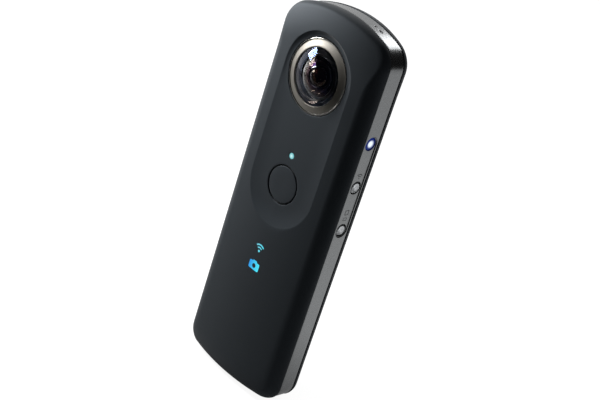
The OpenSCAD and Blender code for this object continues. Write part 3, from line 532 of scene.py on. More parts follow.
def band_grids(body, keys):
    """The band as a strip round the outline with rounded edges and a tongue behind the covers' edges,
    broken by windows for the sockets, the speaker, the microphone and the channel of the side buttons."""
    bevel, tongue, tongue_depth = 0.18 * MM, 0.7 * MM, 1.45 * MM
    band_step, channel_round, channel_end = 0.55 * MM, 0.12 * MM, 5 * MM
    lip, key_lip, hole_depth, key_depth = 0.1 * MM, 0.08 * MM, 1.2 * MM, 1.4 * MM
    columns, speaker_lines, edge_steps, fall_steps, flattening = 9, [0, 3, 5, 8], 5, 9, 6
    starts = outline_starts(body)
    total = 2 * starts[-1]
    half = body.band_width / 2 - body.seam / 2
    across = np.linspace(bevel - half, half - bevel, columns)
    low_key = side_length(body, keys.top_height - 2 * keys.pitch)
    key_at = [low_key + i * keys.pitch for i in range(3)]

    def base_at(x):
        return body.base_arch * math.asin(x * MM / body.base_arch)

    def top_at(x):
        return starts[-1] - body.top_arch * math.asin(x * MM / body.top_arch)

    data, video, speaker = base_at(11.4), total - base_at(11.2), total - base_at(6.45)
    slot, pinhole = top_at(11.6), top_at(9.1)
    # Ends of each window along the band, then its holes: place along it, and in mm the place across it
    # and the half sizes, with the power of the loop
    windows = [
        (data - 4.5 * MM, data + 4.5 * MM, [(data, 0, 4.05, 1.55, 10)]),
        (slot - 1.4 * MM, (slot + pinhole) / 2, [(slot, 0, 0.75, 0.35, 4)]),
        ((slot + pinhole) / 2, pinhole + 1.3 * MM, [(pinhole, 0, 0.35, 0.35, 2)]),
        (video - 4 * MM, video + 3.9 * MM, [(video, 0.15, 3.5, 1.7, 10)]),
        (speaker - 0.7 * MM, speaker + 0.7 * MM, [(speaker, i * 1.5, 0.4, 0.4, 2) for i in (-1, 0, 1)]),
    ]
    key_window = (key_at[0] - channel_end, key_at[2] + channel_end)
    key_cuts = [(key_at[0] + key_at[1]) / 2, (key_at[1] + key_at[2]) / 2]
    breaks = [0, BASE_SPAN, *starts[1:5], starts[-1], *(total - starts[1:5]), total - BASE_SPAN, total]
    breaks = sorted({*breaks, *[w[i] for w in windows for i in (0, 1)], *key_window, *key_at, *key_cuts})
    u = spread(breaks, band_step)
    turn = np.linspace(0, math.pi / 2, edge_steps)
    edge_depth = np.concatenate([[tongue_depth, tongue_depth, 2 * bevel], bevel * (1 - np.sin(turn))])
    edge_y = np.concatenate([[half + tongue, half, half], half - bevel * (1 - np.cos(turn))])
    grids = [
        (band_point(body, u, side * edge_y[:, None], edge_depth[:, None]), False) for side in (-1, 1)
    ]
    spans = sorted([w[:2] for w in windows] + [key_window])
    for first, last in zip([0, *[s[1] for s in spans]], [*[s[0] for s in spans], total]):
        if not np.isclose(first, last, atol=1e-8):
            plain = u[between(u, first, last)]
            grids.append((band_point(body, plain, across[:, None], 0), False))
    for first, last, holes in windows:
        lines = across[speaker_lines if len(holes) > 1 else [0, -1]]
        for low, high, (at, y, half_u, half_y, power) in zip(lines[:-1], lines[1:], holes):
            points = frame_of(u[between(u, first, last)], across[between(across, low, high)])
            centre = np.array([at, y * MM])
            cell = around_hole(points, centre, (half_u * MM, half_y * MM), power, lip, hole_depth)
            grids.append((band_point(body, *np.moveaxis(cell, -1, 0)), True))
    points = frame_of(u[between(u, *key_window)], across)
    foot = coords(np.clip(points[:, 0], key_at[0], key_at[2]), 0)
    ray = points - foot
    ray = ray / np.hypot(*ray.T)[:, None]
    order = np.argsort(np.arctan2(points[:, 1] * flattening, points[:, 0] - key_at[1]))
    points, foot, ray = points[order], foot[order], ray[order]
    fall = np.linspace(0, math.pi, fall_steps)
    reach = keys.channel + channel_round * np.cos(fall)
    down = keys.channel_depth * (1 - np.cos(fall)) / 2
    rings = np.concatenate([points[None], foot + ray * reach[:, None, None]])
    depth = np.concatenate([[0], down])[:, None]
    grids.append((band_point(body, rings[..., 0], rings[..., 1], depth), True))
    holes = [(at, keys.radius + keys.gap) for at in key_at]
    for cell in floor_cells(rings[-1][:, ::-1], key_cuts, holes, key_lip, key_depth, 5):
        y, at, down = np.moveaxis(cell, -1, 0)
        grids.append((band_point(body, at, y, keys.channel_depth + down), True))
    return grids


# Material making


def plug(socket, value):
    """Gives a socket a value, another socket's output or the first output that a node has in use."""
    if isinstance(value, bpy.types.Node):
        value = next(output for output in value.outputs if output.enabled)
    if isinstance(value, bpy.types.NodeSocket):
        socket.id_data.links.new(value, socket)
    else:
        socket.default_value = value


def add(tree, kind, inputs=(), **settings):
    """Adds a shader node with its settings and plugs its inputs."""
    made = tree.nodes.new("ShaderNode" + kind)
    for name, value in settings.items():
        setattr(made, name, value)
    for socket, value in dict(inputs).items():
        plug(made.inputs[socket], value)
    return made


def blank(name):
    """A new material with its tree, surface shader and Object coordinates."""
    material = bpy.data.materials.new(name)
    material.use_nodes = True
    tree = material.node_tree
    tree.nodes.clear()
    shader = add(tree, "BsdfPrincipled")
    add(tree, "OutputMaterial", {"Surface": shader})
    return material, tree, shader, add(tree, "TexCoord").outputs["Object"]


def wire(shader, **sockets):
    """Plugs the surface shader's sockets: words with underscores for the socket's name."""
    for name, value in sockets.items():
        plug(shader.inputs[name.replace("_", " ")], value)


def per(millimetres):
    """Scale of a pattern whose features are this far apart."""
    return 1 / (millimetres * MM)


def soft_touch_abs(name, dark, light):
    """ABS with a soft-touch coat: matt charcoal with a fine moulded grain and a faint cloud. The grain is
    0.1 mm on such covers and is drawn at 0.3 mm so that it shows."""
    material, tree, shader, place = blank(name)
    cloud = add(tree, "TexNoise", {"Vector": place, "Scale": per(26), "Detail": 3.0})
    tone = add(tree, "Mix", {0: cloud, 6: dark, 7: light}, data_type="RGBA")
    grain = add(tree, "TexNoise", {"Vector": place, "Scale": per(0.3), "Detail": 2.0})
    rough = add(tree, "MapRange", {"Value": cloud, "To Min": 0.6, "To Max": 0.68})
    bump = add(tree, "Bump", {"Height": grain, "Strength": 0.22, "Distance": 0.03 * MM})
    wire(
        shader, Base_Color=tone, Roughness=rough, Normal=bump, Specular_IOR_Level=0.4,
        Specular_Tint=linear("#e4f1ff"), Sheen_Weight=0.16, Sheen_Roughness=0.45,
    )
    return material


def flake_paint(name, base, flake):
    """Metallic paint on the band: a satin grey base with bright flakes. Flakes are 0.03 mm and are drawn
    at 0.16 mm so that they show."""
    material, tree, shader, place = blank(name)
    cells = add(tree, "TexVoronoi", {"Vector": place, "Scale": per(0.16)})
    value = add(tree, "SeparateColor", {"Color": cells.outputs["Color"]}).outputs
    share = add(tree, "MapRange", {"Value": value[0], "From Min": 0.35, "From Max": 1.0})
    tone = add(tree, "Mix", {0: share, 6: base, 7: flake}, data_type="RGBA")
    rough = add(tree, "MapRange", {"Value": value[1], "To Min": 0.24, "To Max": 0.28})
    bump = add(tree, "Bump", {"Height": value[2], "Strength": 0.02, "Distance": 0.01 * MM})
    wire(shader, Base_Color=tone, Roughness=rough, Normal=bump, Metallic=0.9)
    return material


def blasted_ring(name, tone, rim_tone, height, polished_from):
    """Bead-blasted aluminium ring with a turned rim: soft grey grain on the cone, a bright polished edge
    outside it. The turning marks are drawn 0.16 mm apart so that they show."""
    material, tree, shader, place = blank(name)
    local = add(tree, "Mapping", {"Vector": place, "Location": (0, 0, -height), "Scale": (1, 0, 1)})
    radius = add(tree, "VectorMath", {0: local}, operation="LENGTH")
    wave = add(tree, "Math", {0: radius, 1: 2 * math.pi * per(0.16)}, operation="MULTIPLY")
    marks = add(tree, "Math", {0: wave}, operation="SINE")
    grain = add(tree, "TexNoise", {"Vector": place, "Scale": per(0.2), "Detail": 2.0})
    relief = add(tree, "Math", {0: marks, 1: 0.15, 2: grain}, operation="MULTIPLY_ADD")
    bump = add(tree, "Bump", {"Height": relief, "Strength": 0.12, "Distance": 0.01 * MM})
    polished_to = polished_from + 0.1 * MM
    polished = add(tree, "MapRange", {"Value": radius, "From Min": polished_from, "From Max": polished_to})
    rough = add(tree, "MapRange", {"Value": polished, "To Min": 0.46, "To Max": 0.16})
    metal = add(tree, "Mix", {0: polished, 6: tone, 7: rim_tone}, data_type="RGBA")
    wire(shader, Base_Color=metal, Metallic=1.0, Roughness=rough, Normal=bump)
    return material


def clear_glass(name, tone, index, film):
    """Polished optical glass with a thin anti-reflection film, which tints its highlights, and a trace of
    dust that keeps it from being perfectly clear."""
    material, tree, shader, place = blank(name)
    dust = add(tree, "TexNoise", {"Vector": place, "Scale": per(2.5), "Detail": 4.0})
    rough = add(tree, "MapRange", {"Value": dust, "To Min": 0.0, "To Max": 0.012})
    wire(
        shader, Base_Color=tone, Roughness=rough, IOR=index, Transmission_Weight=1.0,
        Thin_Film_Thickness=film, Thin_Film_IOR=1.38,
    )
    return material


def spun_metal(name, tone, lamp=None):
    """Spun aluminium of the dished buttons: turning marks round the axis stretch the highlights into a
    bright bow, and a fine grain varies their gloss. The grain is drawn at 0.3 mm so that it shows. A lamp
    behind the button shows as a white-blue core that falls to deep blue: core, edge, height, radius."""
    material, tree, shader, place = blank(name)
    grain = add(tree, "TexNoise", {"Vector": place, "Scale": per(0.3), "Detail": 3.0})
    rough = add(tree, "MapRange", {"Value": grain, "To Min": 0.33, "To Max": 0.41})
    tangent = add(tree, "Tangent", direction_type="RADIAL", axis="X")
    wire(
        shader, Base_Color=tone, Metallic=1.0, Roughness=rough, Anisotropic=1.0,
        Anisotropic_Rotation=0.0, Tangent=tangent,
    )
    if lamp:
        core, edge, height, radius = lamp
        local = add(tree, "Mapping", {"Vector": place, "Location": (0, 0, -height), "Scale": (0, 1, 1)})
        reach = add(tree, "VectorMath", {0: local}, operation="LENGTH")
        share = add(tree, "MapRange", {
            "Value": reach, "From Min": 0.38 * radius, "From Max": 0.74 * radius, "To Min": 1.0,
            "To Max": 0.0,
        })
        light = add(tree, "Mix", {0: share, 6: edge, 7: core}, data_type="RGBA")
        wire(shader, Emission_Color=light, Emission_Strength=1.1)
    return material


def lamp_window(name, near, far, fade, place_at, scale):
    """Acrylic with a lamp behind it: the light changes from one tone to another along a fade, across the
    window or out from its middle."""
    material, tree, shader, place = blank(name)
    local = add(tree, "Mapping", {"Vector": place, "Location": place_at, "Scale": scale})
    share = add(tree, "TexGradient", {"Vector": local}, gradient_type=fade).outputs["Fac"]
    light = add(tree, "Mix", {0: share, 6: near, 7: far}, data_type="RGBA")
    wire(shader, Base_Color=linear("#101418"), Roughness=0.3, Emission_Color=light, Emission_Strength=1.0)
    return material


def grained(name, dark, light, grain, rough, metallic=0.0, relief=0.01, stretch=(1, 1, 1), clear=0.0):
    """A moulded, cast, rolled or coated surface: tone, roughness and relief follow one grain in mm, which
    may be stretched along an axis as rolling or brushing does."""
    material, tree, shader, place = blank(name)
    local = add(tree, "Mapping", {"Vector": place, "Scale": stretch})
    noise = add(tree, "TexNoise", {"Vector": local, "Scale": per(grain), "Detail": 3.0})
    tone = add(tree, "Mix", {0: noise, 6: linear(dark), 7: linear(light)}, data_type="RGBA")
    span = add(tree, "MapRange", {"Value": noise, "To Min": rough[0], "To Max": rough[1]})
    bump = add(tree, "Bump", {"Height": noise, "Strength": 0.3, "Distance": relief * MM})
    wire(
        shader, Base_Color=tone, Roughness=span, Normal=bump, Metallic=metallic,
        Transmission_Weight=clear,
    )
    return material


def solder_mask(name):
    """Green solder mask over copper: tracks 0.3 mm wide show through as paler lines."""
    material, tree, shader, place = blank(name)
    local = add(tree, "Mapping", {"Vector": place, "Rotation": (math.pi / 2, 0, 0)})
    tracks = add(tree, "TexBrick", {
        "Vector": local, "Color1": linear("#14532f"), "Color2": linear("#175b35"),
        "Mortar": linear("#2f7d4c"), "Scale": per(6), "Mortar Size": 0.03, "Brick Width": 0.8,
        "Row Height": 0.35,
    }).outputs
    rough = add(tree, "MapRange", {"Value": tracks["Fac"], "To Min": 0.32, "To Max": 0.22})
    bump = add(tree, "Bump", {"Height": tracks["Fac"], "Strength": 0.3, "Distance": 0.03 * MM})
    wire(shader, Base_Color=tracks["Color"], Roughness=rough, Normal=bump)
    return material


# Operators


class CAMERA_OT_covers(bpy.types.Operator):
    """Builds the two crowned covers with their recesses"""

    bl_idname = "camera360.covers"
    bl_label = "Covers"

    def execute(self, context):
        scene = context.scene
        body, tones = scene.body_sizes, scene.camera_colours
        coat = soft_touch_abs("Soft-touch ABS", tones.cover, tones.cover_light)
        for rear, node in ((False, "front_cover"), (True, "rear_cover")):
            grids = cover_grids(body, scene.lens_sizes, scene.front_sizes, rear)
            mesh = join_grids(node + "_shell", grids)
            add_piece(mesh, coat, slot="charcoal_plastic", stands_for=[node], wall=body.wall)
        return {"FINISHED"}


class CAMERA_OT_band(bpy.types.Operator):
    """Builds the metallic band with its channel, sockets' mouths and sound holes"""

    bl_idname = "camera360.band"
    bl_label = "Band"

    def execute(self, context):
        scene = context.scene
        tones = scene.camera_colours
        paint = flake_paint("Metallic flake paint", tones.band, tones.flake)
        mesh = join_grids("band_shell", band_grids(scene.body_sizes, scene.key_sizes))
        add_piece(mesh, paint, slot="satin_band", stands_for=["side_frame"], wall=BAND_WALL)
        return {"FINISHED"}


class CAMERA_OT_lenses(bpy.types.Operator):
    """Builds both lens stacks: ring, dome, inner lenses and barrel"""

    bl_idname = "camera360.lenses"
    bl_label = "Lenses"

    def execute(self, context):
        scene = context.scene
        lens, tones = scene.lens_sizes, scene.camera_colours
        sizes = (lens.ring, lens.dome, lens.tip, lens.second, lens.third)
        ring_r, dome_r, tip, second_r, third_r = (v / MM for v in sizes)
        floor = scene.body_sizes.depth / MM / 2 - scene.front_sizes.recess_depth / MM
        rim = 0.58 * MM
        ring = blasted_ring("Blasted aluminium", tones.ring, tones.rim, lens.height, lens.ring - rim)
        glass = clear_glass("Dome glass", linear("#fafbff"), 1.52, 142.0)
        second = clear_glass("Coated second glass", linear("#e6e6f2"), 1.9, 118.0)
        # The third glass is tinted almost black. This is painted shade for the dark depth of the lens behind
        # it, so that only its coated reflections show.
        third = clear_glass("Coated third glass, painted dark", linear("#0c0b12"), 1.85, 100.0)
        black = grained("Black anodised barrel", "#020202", "#040404", 0.5, (0.7, 0.85))
        profiles = {
            "lens_ring": (ring_profile(ring_r, dome_r, floor), ring, "satin_ring"),
            "dome_lens": (dome_profile(dome_r, tip, floor), glass, "dome_glass"),
            "second_lens": (second_profile(second_r, tip, floor), second, "inner_glass"),
            "third_lens": (third_profile(third_r), third, "inner_glass"),
            "lens_barrel": (barrel_profile(ring_r, dome_r, second_r, third_r, floor), black, "black_barrel"),
        }
        for way in ("front", "rear"):
            for part, (profile, material, slot) in profiles.items():
                node = f"{way}_{part}"
                add_turned(
                    node + "_turned", profile, way, lens.height, material, slot=slot, stands_for=[node]
                )
        return {"FINISHED"}


def ring_profile(ring_r, dome_r, floor):
    """Ring from its seat up the outside, over a raised rim whose inner flank faces the axis, up the satin
    cone and down by the dome."""
    seat, rim, bore, lip = floor - 1.6, floor - 0.2, dome_r + 0.05, 0.12
    round_r, round_end = 0.18, 113
    cone = np.linspace([ring_r - 0.62, rim + 0.05], [dome_r + 0.35, floor + 0.47], 9)
    return np.concatenate([
        [[bore, seat], [ring_r - 0.1, seat], [ring_r, seat + 0.1]],
        bow((ring_r - round_r, rim), round_r, 0, round_end, 9),
        [[ring_r - 0.5, rim + 0.06], [ring_r - 0.56, rim + 0.04]],
        cone,
        bow((bore + lip, floor + 0.38), lip, 60, 180, 7),
        [[bore, seat]],
    ])


def hollow_cap(ball, front, edge_r, seat, hollow, wall, steps):
    """Lens with a hollow back: a ball's cap from its tip to the edge, its seat, then the hollow's cap back
    to the axis."""
    hollow_r = math.sqrt(hollow ** 2 - (seat - front + wall + hollow) ** 2)
    back = cap(hollow, front - wall, hollow_r, steps[1])[::-1]
    return np.concatenate([cap(ball, front, edge_r, steps[0]), [[edge_r, seat]], back])


def dome_profile(dome_r, tip, floor):
    """Dome: a ball through its tip and its edge, over a thin wall."""
    edge, foot, hollow, wall = floor + 0.4, floor - 0.6, 9.4, 1.35
    sag = tip - edge
    ball = (dome_r ** 2 + sag ** 2) / (2 * sag)
    return hollow_cap(ball, tip, dome_r, foot, hollow, wall, (48, 40))


def second_profile(second_r, tip, floor):
    """Second lens: a deep ball cap with a tight hollow behind it."""
    ball, hollow, air, wall, seat = 8.2, 4.7, 1.95, 0.8, floor - 1.9
    return hollow_cap(ball, tip - air, second_r, seat, hollow, wall, (36, 30))


def third_profile(third_r):
    """Third lens: a flat-backed ball cap."""
    ball, front, seat = 6.0, 7.2, 5.1
    return np.concatenate([cap(ball, front, third_r, 28), [[third_r, seat], [0, seat]]])


def barrel_profile(ring_r, dome_r, second_r, third_r, floor):
    """Barrel: its flange, the collar under the ring and a stepped funnel down to the third lens."""
    seat, foot, ledge, flange, well = floor - 1.65, floor - 0.65, floor - 1.95, 4.9, 5.05
    flange_r, flange_top, collar_r, bore = ring_r + 2.4, flange + 0.8, ring_r - 0.6, third_r - 0.6
    stair_drop, gap = 0.12, 0.05
    steps = np.linspace(dome_r - 0.3, second_r + 0.7, 9)
    stair = np.repeat(steps, 2)[1:-1]
    drop = foot - np.tile([0, 0, stair_drop, stair_drop], 5)[:len(stair)]
    return np.concatenate([
        [[bore, flange], [flange_r, flange], [flange_r, flange_top]],
        [[collar_r, flange_top], [collar_r, seat], [dome_r - gap, seat], [dome_r - gap, foot]],
        coords(stair, drop),
        [[second_r + 0.45, foot - 0.02], [second_r + 0.2, foot - stair_drop], [second_r + gap, foot - 0.4]],
        [[second_r + gap, ledge], [third_r + gap, ledge], [third_r + gap, well]],
        [[bore, well], [bore, flange]],
    ])


class CAMERA_OT_shutter(bpy.types.Operator):
    """Builds the shutter button with its collar and stem"""

    bl_idname = "camera360.shutter"
    bl_label = "Shutter button"

    def execute(self, context):
        scene = context.scene
        front, tones = scene.front_sizes, scene.camera_colours
        low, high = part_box("shutter_button")
        radius, face, tip = front.shutter / MM, -low.y / MM, -high.y / MM
        edge, collar, collar_r, collar_back, stem = 0.2, 6.2, radius + 1.1, 5.5, 1.5
        profile = np.concatenate([
            [[0, face - 0.02], [radius / 2, face - 0.015]],
            bow((radius - edge, face - edge), edge, 90, 0, 7),
            [[radius, collar], [collar_r, collar], [collar_r, collar_back]],
            [[stem, collar_back], [stem, tip], [0, tip]],
        ])
        coat = soft_touch_abs("Soft-touch ABS, button", tones.cover, tones.cover_light)
        add_turned(
            "shutter_cap", profile, "front", front.shutter_height, coat, 160,
            body="shutter", slot="charcoal_plastic", stands_for=["shutter_button"],
        )
        return {"FINISHED"}


def glyph_sheet(body, points, proud):
    """Flat points of a pictogram, across and up, laid just proud of the front cover."""
    x, z = np.moveaxis(points, -1, 0)
    return coords(x, -(cover_height(body, x, z, body.edge_reach) + proud * MM), z)


def sector(centre, inner, outer, first, last):
    """Flat points of a part of a ring, from one angle to another in degrees."""
    return MM * np.stack([bow(centre, radius, first, last, 28) for radius in np.linspace(inner, outer, 4)])


def radio_waves(centre, dot, waves):
    """Wireless sign: a dot of a radius and waves over it, each from an inner to an outer radius."""
    return [sector(centre, 0, dot, 0, 360), *[sector(centre, *wave, 45, 135) for wave in waves]]


def camera_glyph(height):
    """Pictogram of a still camera: a rounded block round a lens hole, with a viewfinder bump on top."""
    turn = np.linspace(0, 2 * np.pi, 72, endpoint=False)
    share = np.linspace(0, 1, 5)[:, None, None]
    centre = np.array([-0.05 * MM, height - 0.2 * MM])
    block = loop_shape(turn, (2.25 * MM, 1.4 * MM), 9)
    hole = loop_shape(turn, (0.78 * MM, 0.78 * MM), 2)
    across = np.linspace(-1, 1, 9)
    rise = np.linspace(0, 1, 4)[:, None]
    bump = coords(across * (1.05 - 0.3 * rise), 1.3 + 0.55 * rise) * MM
    return [(centre + block * (1 - share) + hole * share, True), (centre + bump, False)]


class CAMERA_OT_lamps(bpy.types.Operator):
    """Builds the status lamp and the two lit pictograms"""

    bl_idname = "camera360.lamps"
    bl_label = "Lamps"

    def execute(self, context):
        scene = context.scene
        body, front, tones = scene.body_sizes, scene.front_sizes, scene.camera_colours
        low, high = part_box("status_light_guide")
        radius, face, tip = front.status / MM, -low.y / MM, -high.y / MM
        ball, rise, edge, fade = 12, 0.03, 0.06, per(1.1)
        profile = np.concatenate([
            cap(ball, face + rise, radius - edge, 9), [[radius, face - edge], [radius, tip], [0, tip]],
        ])
        centre = (0, 0, -front.status_height * fade)
        lamp = lamp_window(
            "Status lamp acrylic", tones.status_edge, tones.status, "SPHERICAL", centre, (fade, 0, fade)
        )
        add_turned(
            "status_lens", profile, "front", front.status_height, lamp, 48,
            slot="lamp_cyan", stands_for=["status_light_guide"],
        )
        base = np.array([0.15, front.wireless_height / MM - 1.25])
        waves = [(wave, False) for wave in radio_waves(base, 0.42, [(1.0, 1.42), (1.95, 2.4)])]
        halo = [(sector(base, 0.0, 2.7, 38, 142), False)]
        block = camera_glyph(front.mode_height)
        # Name, flat parts, height over the cover in mm, finish, its two tones and the fade's length in mm
        rows = [
            ("wireless_pictogram", waves, 0.02, "Wireless lamp acrylic", tones.wireless, tones.mode, 4),
            ("wireless_halo", halo, 0.01, "Wireless halo acrylic", tones.halo, tones.cover, 4),
            ("mode_pictogram", block, 0.02, "Mode lamp acrylic", tones.mode_edge, tones.mode, 4.4),
        ]
        for name, parts, proud, finish, near, far, length in rows:
            mesh = join_grids(name, [(glyph_sheet(body, flat, proud), closed) for flat, closed in parts])
            lamp = lamp_window(finish, near, far, "LINEAR", (0.5, 0, 0), (per(length), 0, 0))
            add_piece(mesh, lamp, slot="lamp_blue", wall=0.05 * MM)
        return {"FINISHED"}


def key_profile(radius, face, tip):
    """Side button: a dished face, a bevel, the side, the flange that holds it in and the stem."""
    dish, bevel, fall, corner = 0.26, 0.42, 0.3, 0.04
    flange, flange_r, flange_back, stem = 19.95, radius + 0.8, 19.35, 1.0
    reach = np.linspace(0, radius - bevel, 16)
    bowl = coords(reach, face - dish * (1 - (reach / (radius - bevel)) ** 2))
    return np.concatenate([
        bowl,
        [[radius - bevel + 0.03, face], [radius - 0.06, face - fall + corner], [radius, face - fall]],
        [[radius, flange], [flange_r, flange], [flange_r, flange_back]],
        [[stem, flange_back], [stem, tip], [0, tip]],
    ])


def side_marks(keys):
    """Printed marks on the channel: radio waves over the second button, two frames over the third."""
    top, pitch = keys.top_height / MM, keys.pitch / MM
    waves = radio_waves((0, top - pitch + 3.2), 0.22, [(0.7, 0.92), (1.35, 1.6)])
    turn = np.linspace(0, 2 * np.pi, 49)
    share = np.linspace(1, 0.74, 3)[:, None, None]
    frames = [
        MM * (np.array([0, top - 2 * pitch + rise]) + share * loop_shape(turn, half, 8))
        for half, rise in (((0.85, 0.85), 6.2), ((0.8, 0.55), 3.9))
    ]
    return {"wireless_mark": waves, "mode_mark": frames}


class CAMERA_OT_side_buttons(bpy.types.Operator):
    """Builds the three dished side buttons and the marks beside them"""

    bl_idname = "camera360.side_buttons"
    bl_label = "Side buttons"

    def execute(self, context):
        scene = context.scene
        body, keys, tones = scene.body_sizes, scene.key_sizes, scene.camera_colours
        metal = spun_metal("Spun aluminium", tones.key)
        lamp = (tones.glow, tones.glow_edge, keys.top_height, keys.radius)
        lit = spun_metal("Spun aluminium, lit", tones.key_dark, lamp)
        rows = [
            ("power", lit, "lit_button"),
            ("wireless", metal, "button_metal"),
            ("mode", metal, "button_metal"),
        ]
        for i, (key, material, slot) in enumerate(rows):
            node = key + "_button"
            low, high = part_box(node)
            profile = key_profile(keys.radius / MM, high.x / MM, low.x / MM)
            add_turned(
                node + "_turned", profile, "side", keys.top_height - i * keys.pitch, material, 96,
                body=key + "_key", slot=slot, stands_for=[node],
            )
        ink = grained("Grey marking ink", "#4c4e50", "#565859", 0.4, (0.5, 0.6))
        proud = 0.012 * MM
        face = body.width / 2 - body.band_step - keys.channel_depth + proud
        for name, parts in side_marks(keys).items():
            sheets = [np.insert(part, 0, face, axis=-1) for part in parts]
            mesh = join_grids(name, [(sheet, False) for sheet in sheets])
            add_piece(mesh, ink, slot="black_barrel", wall=0.03 * MM)
        return {"FINISHED"}


class CAMERA_OT_base(bpy.types.Operator):
    """Builds the tripod thread"""

    bl_idname = "camera360.base"
    bl_label = "Tripod thread"

    def execute(self, context):
        pitch, crest, root, length = 1.27, 2.62, 3.17, 6.2
        start, foot, flat, under = 0.7, 0.5, 0.08, (0, 0, 0.5)
        turn = np.linspace(0, 2 * np.pi * length / pitch, 360)
        rise = start + turn / (2 * np.pi) * pitch
        radius, offset = np.array([[root, -foot], [crest, -flat], [crest, flat], [root, foot]]).T[:, :, None]
        grid = MM * coords(radius * np.cos(turn), radius * np.sin(turn), rise + offset)
        mesh = join_grids("tripod_thread", [(grid, False)], under)
        steel = grained("Nickel-plated steel", "#8f8d88", "#b5b3ad", 0.6, (0.2, 0.34), 1.0, 0.004)
        add_piece(mesh, steel, slot="nickel_steel", wall=0.03 * MM)
        return {"FINISHED"}


def inner_finishes():
    """Finishes of the solids that keep their own shape, by the solids' names. Each row gives a material's
    name, two tones, grain in mm and span of roughness, then what else sets it off and where it goes."""
    plated = {"metallic": 1.0, "relief": 0.004}
    rolled = {**plated, "stretch": (1, 1, 0.05)}
    glass = {"relief": 0.001, "clear": 1.0}
    zinc, cast = ({"metallic": 1.0, "relief": relief} for relief in (0.005, 0.03))
    screws = ["sensor_screws", "board_screws", "frame_screws", "shutter_switch", "side_key_switches"]
    optics = ["front_prism", "rear_prism", "front_relay_lens", "rear_relay_lens"]
    seals = ["front_lens_seal", "rear_lens_seal", "microphone_seal"]
    flexes = ["front_sensor_flex", "rear_sensor_flex", "antenna"]
    boards = ["main_board", "side_key_board", "front_sensor_board", "rear_sensor_board"]
    chips = ["processor", "memory_chip", "speaker"]
    sensors = ["front_image_sensor", "rear_image_sensor"]
    guides = ["wireless_light_guide", "mode_light_guide"]
    rows = [
        ("Polyimide film", "#9a5b1e", "#b8732c", 2.0, (0.3, 0.42), {}, flexes),
        ("Zinc-plated steel", "#85888c", "#a3a6a9", 0.5, (0.25, 0.4), zinc, screws),
        ("Die-cast alloy", "#63676b", "#7b7f83", 0.7, (0.4, 0.6), cast, ["lens_chassis"]),
        ("Rolled aluminium", "#9fa2a5", "#b6b9bb", 0.8, (0.25, 0.4), rolled, ["mid_plate"]),
        ("Tinned steel", "#a6a9ac", "#bfc2c4", 1.2, (0.2, 0.35), plated, ["shield_can"]),
        ("Epoxy package", "#17181a", "#232528", 0.3, (0.5, 0.65), {}, chips),
        ("Silicone rubber", "#17181a", "#212326", 0.4, (0.6, 0.75), {}, seals),
        ("Silicone heat pad", "#7d93a8", "#90a5b8", 0.8, (0.65, 0.8), {}, ["heat_pad"]),
        ("Battery film", "#2c2e31", "#3a3d41", 5.0, (0.3, 0.45), {}, ["battery_pack"]),
        ("Gold-plated can", "#b18d3c", "#cba955", 0.5, (0.2, 0.32), plated, ["microphone"]),
        ("Prism glass", "#e8eff0", "#f4f8f8", 6.0, (0.0, 0.02), glass, optics),
        ("Sensor silicon", "#20303a", "#38485a", 1.4, (0.12, 0.2), {}, sensors),
        ("Lamp package", "#d9dfd6", "#eef2ea", 0.4, (0.35, 0.5), {}, ["indicator_leds"]),
        ("Milky acrylic", "#cfd6d8", "#dfe5e6", 0.8, (0.3, 0.4), {}, guides),
    ]
    finishes = [
        (bpy.data.materials["Nickel-plated steel"], ["tripod_bush", "data_socket", "video_socket"]),
        (solder_mask("Solder mask"), boards),
        *[(grained(*look, **more), nodes) for *look, more, nodes in rows],
    ]
    return {node: material for material, nodes in finishes for node in nodes}


class CAMERA_OT_inside(bpy.types.Operator):
    """Gives the sockets, the bush and the pieces inside their finishes"""

    bl_idname = "camera360.inside"
    bl_label = "Sockets and inside"

    def execute(self, context):
        for node, material in inner_finishes().items():
            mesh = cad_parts[node].data
            mesh.materials.clear()
            mesh.materials.append(material)
        return {"FINISHED"}


def add_softbox(name, azimuth, elevation, distance, width, height, watts):
    """An area lamp round the object, aimed at the lens. Azimuth 0 is in front."""
    aim = np.array([0, 0, 105 * MM])
    turn, rise = math.radians(azimuth), math.radians(elevation)
    out = np.array([math.sin(turn) * math.cos(rise), -math.cos(turn) * math.cos(rise), math.sin(rise)])
    lamp = bpy.data.lights.new(name, "AREA")
    lamp.shape = "RECTANGLE"
    lamp.size, lamp.size_y, lamp.energy = width, height, watts
    box = bpy.data.objects.new(name, lamp)
    bpy.context.scene.collection.objects.link(box)
    right = np.cross([0, 0, 1], out)
    right /= np.linalg.norm(right)
    up = np.cross(out, right)
    turned = Matrix(np.stack([right, up, out], axis=1).tolist()).to_4x4()
    turned.translation = out * distance + aim
    box.matrix_world = turned
    box.visible_camera = False


def seen_rays(tree):
    """1 for rays from the camera, from metal and from glass, which should see the pale background."""
    rays = add(tree, "LightPath").outputs
    seen = add(tree, "Math", {0: rays["Is Camera Ray"], 1: rays["Is Glossy Ray"]}, operation="MAXIMUM")
    return add(tree, "Math", {0: seen, 1: rays["Is Transmission Ray"]}, operation="MAXIMUM")


